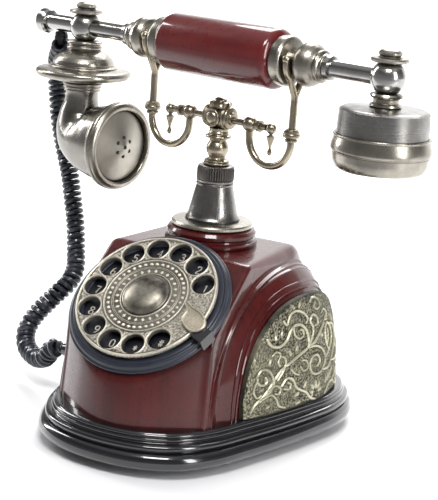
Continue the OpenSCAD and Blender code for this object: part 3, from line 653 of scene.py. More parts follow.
# Scrolls of the side panels as (half width, height, closed points in y and z)
VINES = [
    (0.95, 1.25, [(-50, 28), (-47, 32), (-40, 37), (-34, 43), (-28, 48), (-20, 51), (-11, 54), (-4, 56),
        (3, 58), (9, 62), (15, 66), (20, 70)]),
    (0.8, 1.1, [(-44, 33), (-36, 38), (-34, 43), (-37, 49), (-42, 50.5), (-45.5, 47), (-44.5, 43), (-41, 42),
        (-39, 44), (-40, 46)]),
    (0.7, 1.0, [(-45, 46), (-48, 40), (-46, 35.5), (-43, 36.5)]),
    (0.75, 1.0, [(-31, 43), (-26, 48), (-24, 53), (-27, 55.5), (-30, 53), (-29, 50.5)]),
    (0.9, 1.2, [(-36, 66), (-34, 62.5), (-28, 61), (-22, 63.5), (-19, 67), (-14, 70), (-8, 69.5), (-4, 66),
        (-2.5, 60), (-4, 56)]),
    (0.7, 0.95, [(-15, 69), (-14.5, 65), (-11, 62.5), (-7, 63.5), (-7, 66.5), (-9.5, 67)]),
    (0.75, 1.0, [(-22, 74), (-20, 71.5), (-16, 76), (-10, 77.5), (-4, 75.5), (-1, 72), (-3, 70)]),
    (0.8, 1.1, [(-4, 56), (4, 55.5), (11, 52), (14, 47), (11, 42), (5, 39.5), (-1, 41), (-3, 46), (0, 50),
        (5, 50), (7, 46.5), (4, 44)]),
    (0.8, 1.1, [(-28, 39), (-24, 42.5), (-19, 41), (-16, 36), (-12, 33.5), (-7, 31), (-3, 27), (2, 25)]),
    (0.65, 0.95, [(-26, 37), (-22, 36), (-20.5, 38.5), (-23, 40)]),
    (0.75, 1.0, [(-42, 34), (-36, 35.5), (-32, 32), (-30, 28), (-25, 26)]),
    (0.65, 0.95, [(-38, 38), (-33, 40), (-29, 38), (-30, 35), (-33, 35.5)]),
    (0.8, 1.1, [(-4, 56), (1, 61), (3, 66), (1, 70), (4, 73), (8, 71), (8, 67.5), (5.5, 67)]),
    (0.7, 1.0, [(4, 80), (8, 82), (13, 80), (14, 76.5), (10, 75), (7, 77), (9, 79)]),
    (0.7, 1.0, [(14, 72), (18, 73.5), (21, 71), (20, 67.5), (16.5, 67.5)]),
    (0.85, 1.15, [(14, 47), (20, 50), (25, 56), (24, 63), (19, 65), (16, 60), (17, 54), (20, 50)]),
    (0.6, 0.9, [(18, 52), (20, 57), (20.5, 62)]),
    (0.8, 1.1, [(9, 41), (16, 40), (22, 43), (27, 49), (31, 56), (29, 62), (25, 64)]),
    (0.75, 1.0, [(22, 43), (29, 42), (34, 45), (36, 51), (33, 54), (30, 51.5), (32, 48.5)]),
    (0.75, 1.0, [(12, 26), (18, 30), (25, 31), (31, 35), (37, 36), (41, 33), (39, 29), (35.5, 30.5)]),
    (0.65, 0.95, [(25, 31), (30, 27), (36, 25.5), (42, 26), (45, 24.8)]),
    (0.65, 0.9, [(38, 38), (42, 38), (43.5, 42), (40.5, 44), (38.5, 42)]),
    (0.65, 0.9, [(-12, 47), (-9, 44), (-5, 45), (-6, 49), (-10, 50)]),
    (0.6, 0.85, [(-20, 47), (-17, 44), (-13, 42.5)]),
    (0.6, 0.85, [(-34, 57), (-31, 58.5), (-28, 57), (-29, 54.5)]),
]
# leaves and petals as (y, z, angle, length, width)
LEAVES = [(-15.5, 31.5, 200, 5, 2.6), (-8, 36, 60, 5, 2.4), (2, 34, 90, 6.5, 2.6), (-1, 33, 130, 5.5, 2.4),
    (5, 33, 50, 5.5, 2.4), (-2, 30, 165, 4.5, 2.2), (6, 30, 15, 4.5, 2.2), (14, 34, 75, 6, 2.2),
    (17, 35, 60, 6, 2.2), (20, 35.5, 45, 6, 2.2), (23, 37.5, 35, 5.5, 2.0), (-25, 68, 60, 4.5, 2.0),
    (-30, 66.5, 80, 4.5, 2.0), (-20, 56, 110, 5, 2.2), (-14, 58, 60, 4.5, 2.0), (-36, 54, 70, 5, 2.2),
    (28, 66, 100, 5, 2.2), (12, 60, 330, 5, 2.2), (-6, 80, 40, 4.5, 2.0), (-12, 80, 120, 4, 1.8),
    (33, 60, 50, 5, 2.2), (40, 50, 80, 5, 2.0), (-2, 28, 200, 4, 1.8), (-38, 29, 20, 4, 1.8),
    (-14, 26.5, 10, 5, 1.9), (-46, 56, 60, 3.5, 1.8), (33, 40, 20, 4, 1.8)]


def granules(a, b, cell, seed=0.0):
    """Small rounded grains scattered over a plane, 1 at the middle of each."""
    ga, gb = np.floor(a / cell), np.floor(b / cell)
    best = np.full(np.shape(a), 9.0)
    for i in (-1, 0, 1):
        for j in (-1, 0, 1):
            ca, cb = ga + i, gb + j
            u = np.sin(ca * 127.1 + cb * 311.7 + seed) * 437.585
            w = np.sin(ca * 269.5 + cb * 183.3 + seed) * 437.585
            du, dw = a / cell - ca - (u - np.floor(u)), b / cell - cb - (w - np.floor(w))
            best = np.minimum(best, np.hypot(du, dw))
    return np.clip(1 - best / 0.85, 0, 1)


def relief(y, z):
    """Height of the cast scrollwork over its ground, in mm."""
    h = 0.42 * granules(y, z, 1.15) * (0.75 + 0.5 * granules(y, z, 7.0, 3.0))
    for w, high, pts in VINES:
        w *= 0.82
        line = even(smooth_line(pts, 6), 0.3)
        near = ((y > line[:, 0].min() - 2) & (y < line[:, 0].max() + 2)
                & (z > line[:, 1].min() - 2) & (z < line[:, 1].max() + 2))
        if not near.any():
            continue
        d = np.min(np.hypot(y[near][:, None] - line[:, 0], z[near][:, None] - line[:, 1]), 1)
        up = high * np.sqrt(np.clip(1 - (d / w) ** 2, 0, 1))
        moat = np.clip((d - w) / 0.8, 0, 1)
        h[near] = np.where(d < w, np.maximum(up, h[near] * 0.3), h[near] * (0.25 + 0.75 * moat))
    for cy, cz, degrees, long, wide in LEAVES:
        ang = math.radians(degrees)
        ca, sa = math.cos(ang), math.sin(ang)
        a = ((y - cy) * ca + (z - cz) * sa) / (long / 2)
        b = (-(y - cy) * sa + (z - cz) * ca) / (wide / 2)
        body_h = np.clip(1 - a ** 2 - b ** 2 * np.maximum(0.5, 1.6 + a), 0, 1) ** 0.5
        vein = 0.35 * np.exp(-(b / 0.18) ** 2)
        h = np.maximum(h, body_h * 0.95 - vein * (body_h > 0.2))
    return h


def side_panel(s):
    """The cast panel, its relief raised out of the CAD panel's own bulge."""
    nu, nv = 236, 165
    rf, rb, rz, n = PANEL_ARCH
    ys = ARCH_Y - np.cos(np.linspace(0, math.pi, nu)) * 0.992 * np.where(np.linspace(0, 1, nu) < 0.5, rf, rb)
    z0 = PLINTH_TOP + 0.2
    r = np.abs(ys - ARCH_Y) / np.where(ys < ARCH_Y, rf, rb)
    top = np.maximum(1.5, ARCH_Z + rz * np.maximum(0, 1 - r ** n) ** (1 / n) - z0)
    y = np.repeat(ys[:, None], nv, 1)
    z = z0 + top[:, None] * np.linspace(0, 1, nv)
    x = panel_x(y, z)
    h = relief(y.ravel(), z.ravel()).reshape(y.shape)
    along, upward = [np.minimum(np.minimum(np.arange(k), np.arange(k)[::-1]), 5) / 5 for k in (nu, nv)]
    h = h * upward[None, :] * along[:, None]                # flat at the rim
    p = np.stack([x, y, z], 2)
    out = np.cross(np.gradient(p, axis=0), np.gradient(p, axis=1))
    out /= np.linalg.norm(out, axis=2)[:, :, None] + 1e-9
    out *= np.sign(out[:, :, :1] + 1e-9)
    p = p + out * (h - 0.15)[:, :, None]
    p[:, :, 0] *= s
    front = p.reshape(-1, 3)
    behind = np.stack([s * (half_width(z) + 14.3 - taper(y)), y, z], 2).reshape(-1, 3)
    k = len(front)
    faces = grid(nu, nv)
    faces += [tuple(i + k for i in q[::-1]) for q in faces]
    rim_ids = ([i * nv for i in range(nu)] + [(nu - 1) * nv + j for j in range(1, nv)]
               + [i * nv + nv - 1 for i in range(nu - 2, -1, -1)] + [j for j in range(nv - 2, 0, -1)])
    m = len(rim_ids)
    faces += [(rim_ids[(i + 1) % m], rim_ids[i], rim_ids[i] + k, rim_ids[(i + 1) % m] + k) for i in range(m)]
    if s < 0:
        faces = flip(faces)
    return (np.concatenate([front, behind]), faces), np.r_[h.ravel(), np.zeros(k)]


for s, side in SIDES:
    piece(f"{side}_side_roll", side_roll(s), BURGUNDY, "base", COLUMN, slot="burgundy_lacquer", sharp=60)
    piece(f"{side}_panel_beads", panel_beads(s), BURGUNDY, "base", COLUMN, slot="burgundy_lacquer")
    part, h = side_panel(s)
    piece(f"{side}_panel_relief", part, GILT_RELIEF, "base", COLUMN, slot="gilt",
        replaces=[f"{side}_side_panel"], sharp=80, height=h)

# ---- plinth
ROLL_HALF = [(0, -115), (24, -111.5), (44, -100), (57, -81), (65, -58), (72, -34), (78, -8), (82, 18), (80, 40),
    (70, 59), (48, 69.5), (22, 72), (0, 72)]
BEAD_HALF = [(0, -107), (20.5, -104), (37, -94.3), (49, -77), (57, -54), (64.5, -30), (71, -6), (75.5, 16),
    (73.5, 37), (64, 54), (45, 63), (21, 65.5), (0, 65.5)]


def plan(half):
    """The closed outline of which half is the right half."""
    return smooth_line(half + [(-x, y) for x, y in half[-2:0:-1]], 12, closed=True)


def plinth():
    """Stepped moulding: foot, big torus, groove, bead, groove, and a fine top bead."""
    prof = [(-9, 4), (-1.2, 4), (1.5, 4.3), (4.6, 4.9), (6.9, 6.3), (7.9, 8.4), (8, 10.2), (7.3, 12.4),
        (5.9, 13.9), (4.4, 14.4), (3.6, 14.5), (3.3, 14.9), (3.6, 15.2), (4.6, 15.5), (5.1, 16.3), (5.1, 17.3),
        (4.5, 18.3), (3, 18.8), (1.9, 18.9), (1.5, 19.3), (1.6, 19.7), (2, 20.1), (2.1, 20.8), (1.8, 21.4),
        (1.1, 21.6), (0.9, 21.8), (1.1, 22), (1.3, 22.5), (1.1, 23.1), (0.3, 23.7), (-1.2, 23.9), (-14, 23.9)]
    prof = smooth_line(prof, 3)
    roll, bead = plan(ROLL_HALF), plan(BEAD_HALF)
    mid = bead.mean(0)
    out = []
    for off, z in prof:
        p = bead + (roll - bead) * off / 8 if off >= 0 else mid + (bead - mid) * (1 + off / 70)
        out.append(np.c_[p, np.full(len(p), z)])
    return np.concatenate(out), hoops(len(prof), len(bead))


piece("plinth_moulding", plinth(), BLACK, "base", COLUMN, slot="black_moulding", replaces=["plinth"], sharp=60)

# ---- dial
HOLES = [(32 * math.cos(math.radians(27 + 25.7 * k)), 32 * math.sin(math.radians(27 + 25.7 * k)))
         for k in range(12)]
HOLE_R, HOLE_STEPS = 6.35, 56
BAND_IN, BAND_OUT, UNDER = 24.6, 38.6, -2.2     # the holed band's radii and the wheel's underside


def to_hole(x, y):
    """The distance to the nearest finger hole's centre."""
    return np.min([np.hypot(x - u, y - v) for u, v in HOLES], axis=0)


def wheel_height(x, y):
    """Top of the finger wheel over its plane: rings, beads, a plain ornament band and hole rims."""
    r, a = np.hypot(x, y), np.arctan2(y, x)
    h = np.zeros(np.shape(x))
    for at, high, wide in ((14.3, 0.75, 0.35), (18.5, 0.45, 0.22), (19.3, 0.45, 0.22), (23.7, 0.6, 0.42)):
        h = h + high * np.exp(-((r - at) / wide) ** 2)
    for n, at, high in ((40, 21.3, 0.7), (26, 16.5, 0.5)):      # round beads, then plain lozenges
        near = (np.round(a / (2 * math.pi / n))) * 2 * math.pi / n
        du, dv = r * np.sin(a - near), r * np.cos(a - near) - at
        d = np.hypot(du, dv) if n == 40 else np.abs(du) * 0.9 + np.abs(dv) * 0.62
        h = np.maximum(h, high * np.sqrt(np.clip(1 - d ** 2, 0, 1)))
    d = to_hole(x, y)
    h = np.where(r > 24.5, h + 0.6 * np.exp(-((d - 6.85) / 0.38) ** 2), h)
    land = np.clip((r - 24.6) / 0.8, 0, 1) * np.clip((38.2 - r) / 0.6, 0, 1) * np.clip((d - 7.3) / 0.5, 0, 1)
    plain_arc = np.clip((np.abs(np.degrees(a) + 12.5) - 20) / 4, 0, 1)
    return h + 0.5 * land * plain_arc * granules(x, y, 1.25, 5.0) + 0.22 * land * (1 - plain_arc)


def wheel():
    """The finger wheel and the height of each of its vertices: middle, holed band, holes, rim and underside."""
    rr, n = np.linspace(13.2, BAND_IN, 76), 300
    c, s = circle(0, 0, 1, n).T
    x, y = rr[:, None] * c, rr[:, None] * s
    h = wheel_height(x, y)
    out = [(np.stack([x, y, h + 0.1], 2).reshape(-1, 3), hoops(len(rr), n, back=True))]
    hs = [h.ravel()]
    # the holed band, as a triangle sheet
    loops = ([circle(0, 0, BAND_IN, 220), circle(0, 0, BAND_OUT, 320)]
             + [circle(u, v, HOLE_R, HOLE_STEPS) for u, v in HOLES])
    pts, edges = [], []
    for c in loops:
        k = sum(len(q) for q in pts)
        edges += [(k + i, k + (i + 1) % len(c)) for i in range(len(c))]
        pts.append(c)
    rims = [circle(u, v, r, HOLE_STEPS) for u, v in HOLES for r in (6.6, 6.85, 7.15)]
    gx, gy = np.meshgrid(np.arange(-39, 39, 0.62), np.arange(-39, 39, 0.62))
    g = np.c_[gx.ravel(), gy.ravel()] + rng.uniform(-0.12, 0.12, (gx.size, 2))
    q = np.concatenate(rims + [g])
    r = np.hypot(q[:, 0], q[:, 1])
    d = to_hole(*q.T)
    is_rim = np.arange(len(q)) < len(rims) * HOLE_STEPS
    q = q[(r > 24.85) & (r < 38.35) & ((d > 7.4) | (is_rim & (d > 6.4)))]
    every = np.concatenate(pts + [q])
    vs, _, fs, *_ = geometry.delaunay_2d_cdt([Vector(c) for c in every], edges, [], 0, 1e-5)
    v = np.array([(c.x, c.y) for c in vs])
    c = np.array([v[list(f)].mean(0) for f in fs])
    r = np.hypot(c[:, 0], c[:, 1])
    keep = [tuple(f) for f, k in zip(fs, (r > BAND_IN - 0.01) & (r < BAND_OUT) & (to_hole(*c.T) > 6.32)) if k]
    h = wheel_height(*v.T)
    out += [(np.c_[v, h + 0.1], keep), (np.c_[v, np.full(len(v), UNDER)], flip(keep))]
    hs += [h, np.zeros(len(v))]
    for u, w in HOLES:
        top, wall = circle(u, w, HOLE_R, HOLE_STEPS), circle(u, w, 6.2, HOLE_STEPS)
        h = wheel_height(*top.T)
        ring = np.concatenate([np.c_[top, h + 0.1], np.c_[wall, h - 0.2], np.c_[wall, np.full(len(h), UNDER)]])
        out.append((ring, hoops(3, HOLE_STEPS)))
        hs.append(np.repeat([0.6, 0.05, 0.05], HOLE_STEPS))
    # polished rim and underside
    prof = [(BAND_OUT, 0.1), (38.75, 0.15), (38.9, 0.45), (39.2, 0.62), (39.6, 0.6), (39.9, 0.3), (40, -0.2),
        (40, -1.6), (39.6, -2.1), (BAND_OUT, UNDER)]
    v, f = lathe(prof, 320)
    out.append((v, flip(f)))
    out.append(lathe([(BAND_IN, UNDER), (9.2, -2.4), (8.6, -3.6), (3.1, -3.6)], 220))
    hs += [np.repeat([0.1, 0.2, 0.4, 0.55, 0.5, 0.45, 0.35, 0.2, 0.1, 0], 320), np.zeros(4 * 220)]
    return join(*out), np.concatenate(hs)


part, h = wheel()
piece("dial_wheel", part, WHEEL, "dial", DIAL, slot="gilt", replaces=["finger_wheel"], sharp=60, height=h)
turned("dial_medallion", [(0, -0.2), (12.9, -0.2), (13.3, 0.3), (13.3, 0.9), (12.7, 1.3), (12, 1.2),
    (11.6, 1.3), (11.2, 2), (10, 2.9), (8, 3.7), (5.5, 4.3), (2.8, 4.65), (0, 4.75)], MEDAL, "dial", DIAL,
    replaces=["dial_centre_cap"], r=0.8, sharp=70)
turned("dial_surround", [(8, -7.9), (45.8, -7.9), (46.3, -7.4), (46.3, -6.5), (45.9, -6), (45.2, -5.9),
    (44.9, -5.6), (44.6, -4.4), (44.1, -3.7), (43.2, -3.5), (42.6, -3.8), (42.2, -3.5), (41.6, -3.4),
    (36.6, -3.4), (36.6, -5.6), (8, -5.6)], SLATE, "base", DIAL, slot="black_moulding",
    replaces=["dial_backing"], r=0.3, seg=256, closed=True, sharp=50)

GLYPHS = {              # strokes in hundredths of a digit's box
    "1": [[(25, 78), (52, 100), (52, 0)]],
    "2": [[(10, 80), (25, 98), (50, 100), (78, 90), (80, 66), (55, 40), (10, 0), (85, 0)]],
    "3": [[(12, 90), (40, 100), (75, 90), (76, 65), (45, 54), (80, 42), (82, 14), (45, 0), (10, 10)]],
    "4": [[(65, 0), (65, 100), (8, 30), (90, 30)]],
    "5": [[(80, 100), (22, 100), (16, 56), (50, 62), (82, 45), (80, 14), (45, 0), (10, 10)]],
    "6": [[(72, 97), (35, 80), (12, 40), (20, 8), (50, 0), (80, 12), (82, 42), (50, 56), (18, 42)]],
    "7": [[(10, 100), (85, 100), (55, 50), (40, 0)]],
    "8": [[(48, 54), (16, 72), (24, 95), (50, 100), (76, 94), (80, 72), (48, 54), (12, 34), (18, 6), (50, 0),
          (82, 6), (86, 34), (48, 54)]],
    "9": [[(26, 3), (60, 20), (84, 60), (78, 92), (50, 100), (18, 90), (15, 60), (48, 45), (80, 58)]],
    "0": [[(50, 100), (20, 86), (12, 50), (20, 14), (50, 0), (80, 14), (88, 50), (80, 86), (50, 100)]],
    "star": [[(50, 15), (50, 85)], [(17, 33), (83, 67)], [(17, 67), (83, 33)]],
    "hash": [[(30, 5), (38, 95)], [(62, 5), (70, 95)], [(8, 32), (90, 32)], [(10, 68), (92, 68)]],
}


def digits():
    parts = []
    for (u, w), key in zip(HOLES, list("1234567890") + ["star", "hash"]):
        for stroke in GLYPHS[key]:
            q = np.array(stroke) / 100
            if len(q) > 4:
                q = smooth_line(q, 4)
            x, y = u - 0.3 + (q[:, 0] - 0.5) * 3.3, w + 0.4 + (q[:, 1] - 0.5) * 4.6
            parts.append(tube(np.c_[x, y, np.full(len(q), -4.5)], 0.34, 8))
    return join(*parts)


piece("dial_digits", digits(), INK, "base", DIAL, slot="gilt")


def stop():
    """The finger stop: a cast tongue with a raised edge."""
    out = np.array([(24.6, -0.3), (28, -5), (27.8, -10.4), (31.5, -14.8), (36.3, -16.9), (40.4, -15.9),
        (42.9, -12.6), (41.6, -8.2), (36.8, -4.2), (31, -2), (26.2, 0.8)])
    q = smooth_line(out, 8, closed=True)
    t = np.roll(q, -1, 0) - np.roll(q, 1, 0)
    nrm = unit(np.c_[-t[:, 1], t[:, 0]])
    if np.dot(nrm[0], q.mean(0) - q[0]) < 0:
        nrm = -nrm
    rings = [np.c_[q + nrm * d, np.full(len(q), z)] for d, z in ((0.5, 1.5), (0.05, 1.6), (0, 2.1), (0.12, 2.6),
        (0.4, 2.9), (0.75, 2.85), (1.0, 2.5), (1.3, 2.35))]
    n = len(q)
    v = np.concatenate(rings)
    mid = np.array([34.5, -9.5])
    inner = [np.c_[mid + (q + nrm * 1.3 - mid) * k, np.full(n, z)] for k, z in ((0.7, 2.45), (0.4, 2.6),
        (0.15, 2.65))]
    v = np.concatenate([v] + inner + [[[*mid, 2.66], [*mid, 1.5]]])
    m = len(rings) + len(inner)
    f = hoops(m, n)
    f += [((m - 1) * n + i, (m - 1) * n + (i + 1) % n, m * n) for i in range(n)]
    f += [((i + 1) % n, i, m * n + 1) for i in range(n)]
    return v, f


part = stop()
piece("finger_stop_cast", part, WHEEL_PLAIN, "base", DIAL, slot="gilt", replaces=["finger_stop"], sharp=60,
    height=np.interp(part[0][:, 2], [2.3, 2.7, 2.9], [0.35, 0.5, 1.0]))

# ---- column
def knurled():
    """The knurled collar: fine upright flutes between two plain rims."""
    rows = [(4.3, 140, 0), (10, 140, 0), (10.6, 140.3, 0), (10.7, 140.9, 0), (10.4, 141.2, 0), (10.5, 141.5, 1),
        (10.75, 142, 1), (10.75, 145, 1), (10.75, 147.6, 1), (10.5, 148.1, 1), (10.3, 148.6, 1),
        (10.2, 149.1, 0.6), (9.9, 149.5, 0), (9.3, 149.7, 0), (4.3, 149.7, 0)]
    return fluted(rows, -0.9 * np.abs(np.sin(angles(528) * 22)) ** 0.7, close=True)


piece("collar_knurl", knurled(), DARK_METAL, "base", COLUMN, slot="antique_nickel", replaces=["knurled_collar"],
    sharp=30)

# ---- cradle
HUB = CRADLE @ shift(0, 0, 177.4)
half = [(0, -10.4), (3.2, -10.4), (3.6, -9.8), (3.7, -9), (5.9, -8.6), (6.3, -8), (6.3, -7.2), (5.8, -6.8),
    (5.8, -6.3), (6.5, -5.8), (6.6, -4.6)]
turned("hub_barrel", half + [(6.3, 0)] + [(r, -z) for r, z in half[::-1]], BRONZE, "cradle",
    HUB @ turn(90, "Y"), replaces=["cradle_hub"], r=0.25)
boss = [(0, 9.3), (1.6, 9.2), (2.9, 8.7), (3.5, 8), (3.7, 7.7), (4.1, 7.7), (4.5, 8.1), (5.1, 8.2), (5.4, 7.8),
    (5.5, 7), (5.2, 6.5), (5.2, 0), (0, 0)]
for k, side in enumerate(("front", "back")):
    turned(f"hub_boss_{side}", boss, BRONZE, "cradle", HUB @ turn(90 + 180 * k, "X"), r=0.3)


def crown():
    """Castellated cap under a button."""
    rows = [(0, 182.4, 0), (5.4, 182.4, 0), (6.2, 182.8, 0), (6.4, 183.6, 0), (6.3, 184.4, 0.6),
        (6.3, 185.5, 1), (5.6, 186, 1), (4.4, 186.1, 0.3), (3.8, 186.5, 0), (3.6, 187.3, 0), (2.6, 188.1, 0),
        (1.2, 188.5, 0), (0.01, 188.6, 0)]
    return fluted(rows, np.where(np.sin(angles(240) * 10) > 0.2, 0.0, -0.9))


piece("hub_cap", crown(), BRONZE, "cradle", CRADLE, slot="antique_nickel", replaces=["hub_crown"], sharp=35)
drop = [(0, 0), (1, 0), (1, 1.2), (2.5, 1.6), (2.3, 2.6), (1.1, 6.4), (0.7, 8.4), (0.9, 9.2), (1.4, 10.4),
    (1.3, 11.6), (0.6, 12.5), (0, 12.6)]
ball = [(3 * math.sin(t), 3 * math.cos(t)) for t in np.linspace(0, math.pi, 16)]
parts = []
for s, _ in SIDES:
    parts.append(moved(lathe(rounded(drop, 0.3), 32), shift(s * 37.4, 0, 173.9) @ turn(180, "X")))
    v, f = lathe(ball, 32)
    parts.append(moved((v, flip(f)), shift(s * 37.4, 0, 176.4)))
piece("pendants", join(*parts), BRONZE, "cradle", CRADLE, slot="antique_nickel", replaces=["arm_finials"],
    sharp=45)
collar = [(1.9, -4.4), (3.4, -4.4), (3.6, -3.9), (3.6, -3.2), (3, -2.8), (3, -2.4), (4.5, -1.9), (4.8, -1.2),
    (4.8, -0.1), (4.4, 0.5), (3.2, 0.9), (3.2, 1.3), (3.6, 1.6), (3.5, 2.4), (2.9, 2.8), (1.9, 2.8)]
for s, side in SIDES:
    turned(f"{side}_collar", collar, BRONZE, "cradle", CRADLE @ shift(s * FORK_X, 0, 175.8), r=0.25,
        closed=True)
turned("stem_turning", [(0, 149.9), (6.9, 149.9), (7.4, 150.3), (7.4, 151.2), (6.9, 151.6), (6.6, 151.8),
    (7.2, 152.1), (7.2, 152.7), (5.6, 153.2), (4.9, 153.8), (4.7, 154.4), (5.3, 155.6), (6.1, 157.2),
    (6.5, 158.8), (6.4, 160.4), (5.6, 162.3), (4.8, 163.6), (4.6, 164.2), (5.2, 164.5), (5.3, 165),
    (7.2, 165.4), (7.6, 166.1), (7.3, 166.9), (5.9, 167.3), (5.6, 167.7), (6, 168.2), (5.8, 168.8),
    (5.3, 169.3), (5.6, 171), (0, 171)], BRONZE, "cradle", CRADLE, replaces=["cradle_stem"], r=0.25)

# ---- handset
# horn centre line: x, z and radius, then the mouth
HORN = [(-110.4, 181.4, 11.2), (-110.4, 178.5, 11), (-110.4, 174.5, 9.9), (-110.8, 168.5, 10.6),
    (-111.4, 162, 12.6), (-110.2, 155.4, 15.4), (-106, 150.2, 18.2), (-99.5, 147.9, 20.6), (-92, 147.3, 22.3),
    (-86, 147.3, 23.4), (-82.3, 147.3, 24)]


def horn():
    """The bent horn, narrow under the ball and wide at the mouth."""
    c = smooth_line(HORN, 8)
    d = unit(np.gradient(c[:, :2], axis=0))
    d[0], d[-1] = (0, -1), (1, 0)
    n = 96
    a = angles(n)
    v = np.concatenate([np.stack([x - dz * q * np.cos(a), q * np.sin(a), z + dx * q * np.cos(a)], 1)
                        for (x, z, q), (dx, dz) in zip(c, d)])
    return v, hoops(len(c), n, back=True) + [tuple(range(n)), tuple(range(len(v) - 1, len(v) - n - 1, -1))]


piece("horn", horn(), HORN_METAL, "handset", CRADLE, slot="antique_nickel", replaces=["transmitter_horn"],
    sharp=50)
turned("horn_neck_rings", [(9, 181.5), (11.6, 181.5), (12, 181), (12, 180.2), (11.5, 179.8), (11.3, 179.4),
    (11.7, 179), (11.7, 178.3), (11.1, 177.9), (11, 177.5), (11.3, 177.1), (11.3, 176.5), (10.7, 176.1),
    (9, 176.1)], NICKEL, "handset", CRADLE @ shift(-110.4, 0, 0), r=0.25, closed=True)
turned("mouth_ring", [(20.6, 0), (24.6, 0), (25.2, 0.35), (25.2, 0.9), (24.9, 1.15), (25.3, 1.4), (26, 1.7),
    (26.5, 2.6), (26.7, 3.7), (26.5, 4.8), (26, 5.2), (26.1, 5.5), (26.3, 5.9), (26.1, 6.6), (25.4, 7.5),
    (24.2, 8.1), (22.9, 8.2), (22.2, 7.9), (21.9, 7.2), (21.8, 4.2), (20.6, 4.2)], NICKEL, "handset", MOUTH,
    replaces=["mouthpiece_ring"], r=0.3, seg=160, closed=True)
turned("mouth_disc", [(0, 10.3), (1, 10.25), (4, 9.35), (9, 8), (15, 6.6), (20.6, 5.5), (21.3, 5.2),
    (21.4, 4.4), (0, 4.4)], DISC, "handset", MOUTH, replaces=["mouthpiece_disc"], r=0.8, seg=160, sharp=50)
spots = [(5.6 * math.cos(t), 5.6 * math.sin(t)) for t in np.arange(6) * math.pi / 3] + [(0, 0)]
holes = join(*[moved(lathe([(0, -0.8), (1.15, -0.6), (1.15, 0.1), (0.9, 0.2), (0.5, 0.22), (0, 0.23)], 24),
                    shift(u, w, 10.34 - 0.245 * math.hypot(u, w)))
              for u, w in spots])
piece("mouth_holes", holes, BORE, "handset", MOUTH, slot="rubber", sharp=40)

for s, side in SIDES:
    turned(f"{side}_ferrule_turning", [(0, 41.1), (13.2, 41.1), (13.7, 41.6), (13.8, 42.4), (13.8, 46.2),
        (13.4, 47.2), (12.4, 48), (10, 48.4), (7.4, 48.6), (7.4, 54.8), (8.6, 55.1), (10.8, 56.2), (12, 58.2),
        (12.2, 60.6), (11.3, 63.2), (9.8, 65.4), (8.5, 66.6), (8.2, 67.2), (8.8, 67.8), (8.9, 68.8),
        (8.1, 69.6), (7.1, 70.1), (6.9, 71.6), (0, 71.6)], NICKEL, "handset",
        HANDSET @ turn(180 * (s < 0), "Y"), replaces=[f"{side}_ferrule"], r=0.4, seg=128)
turned("receiver_band", [(24, 185.1), (25.5, 185.1), (25.9, 184.8), (25.9, 184.2), (25.4, 183.8), (25.5, 183.4),
    (26.2, 181), (26.7, 178.6), (26.8, 177.2), (26.4, 176.2), (25.9, 175.9), (25.9, 175.3), (24, 175.3)],
    NICKEL, "handset", CRADLE @ shift(BALL_X, 0, 0), replaces=["receiver_ring"], r=0.3, seg=160, closed=True,
    sharp=50)

top_profile = [(0, 206.7), (10.2, 206.7), (10.9, 206.2), (11, 205.2), (10.2, 204.6), (9.7, 204.2), (9.9, 203.7),
    (10.7, 203.2), (10.8, 202.2), (10, 201.4), (9.6, 200.9), (11.5, 200.2), (14.2, 198.9), (16.6, 197),
    (18.2, 194.8), (18.8, 193), (18.4, 192.4), (19, 191.9), (20.2, 191.6), (20.6, 191), (20.3, 190.5),
    (22, 190.1), (25.2, 189.9), (27.6, 189.3), (28.8, 188.2), (29.1, 187), (28.7, 185.6), (27.6, 184.8),
    (25.6, 184.6), (25, 184.2), (22.6, 184), (19.6, 183.6), (19.2, 183), (15.5, 182.4), (12.4, 182),
    (12, 181.6), (0, 181.6)]
turned("transmitter_bell", top_profile, NICKEL, "handset", CRADLE @ shift(-BALL_X, 0, 0),
    replaces=["transmitter_disc"], r=0.35, seg=160)

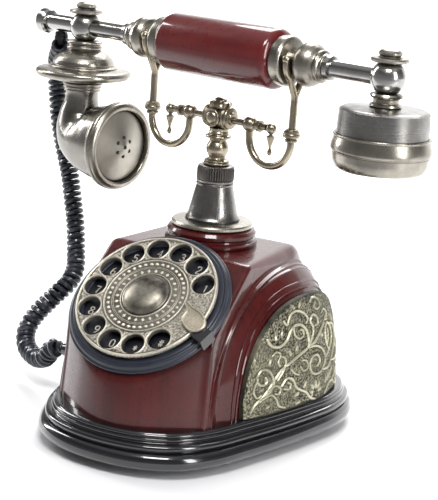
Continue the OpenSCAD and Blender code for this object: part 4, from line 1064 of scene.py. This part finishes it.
# ---- stage and light
look = Shader("pale_floor")
depth = look.node("SeparateXYZ", Vector=look.pos).outputs["Y"]
look.to(look.value(look.noise(3), 0.45, 0.57), "Roughness")
look.to(look.mix(look.value(depth, 0.0, 1.0, -0.3, -0.13), (0.3, 0.3, 0.31), (0.86, 0.86, 0.87)), "Base Color")
look.to(look.value(depth, 0.0, 1.0, 0.05, 0.8), "Emission Strength")
look.b.inputs["Emission Color"].default_value = (1, 1, 1, 1)
floor = piece("floor", ([(-6, -6, 0), (6, -6, 0), (6, 6, 0), (-6, 6, 0)], [(0, 1, 2, 3)]), look.mat, None)

world = bpy.data.worlds.new("studio")
scene.world = world
world.use_nodes = True
sky = Nodes(world.node_tree, "Generated")
way = sky.node("SeparateXYZ", Vector=sky.pos).outputs
dome = sky.ramp(way["Z"], [(p, (c, c, c * 1.01)) for p, c in
                           ((0.0, 0.3), (0.5, 0.1), (0.62, 0.16), (0.8, 0.38), (1.0, 0.55))])
wall = sky.value(way["Y"], 0.0, 1.35, 0.62, 0.92, interpolation_type="SMOOTHSTEP")   # bright, behind the object
sky.feed(sky.t.nodes["Background"].inputs["Color"], sky.mix(1.0, dome, wall, "ADD"))


def lamp(name, kind, energy, at, aim=(0, 0, 0), **shape):
    """A light at a place in metres, turned to its aim."""
    light = bpy.data.lights.new(name, kind)
    light.energy = energy
    for k, v in shape.items():
        setattr(light, k, v)
    o = add(name, light)
    o.location = at
    o.rotation_euler = (Vector(aim) - Vector(at)).to_track_quat("-Z", "Y").to_euler()


for name, watts, at, aim_z, wide, high in (("top_box", 13, (0.35, -0.65, 1.25), 0.1, 0.5, 0.35),
                                           ("left_box", 9, (-1.25, 0.1, 0.7), 0.12, 0.2, 1.0),
                                           ("right_box", 8, (1.1, -0.35, 0.55), 0.1, 0.25, 0.8)):
    lamp(name, "AREA", watts, at, (0, 0, aim_z), shape="RECTANGLE", size=wide, size_y=high)
lamp("sky_light", "SUN", 2.2, (-0.25, 0.75, 0.85), angle=math.radians(36))
scene.view_settings.view_transform = "Standard"
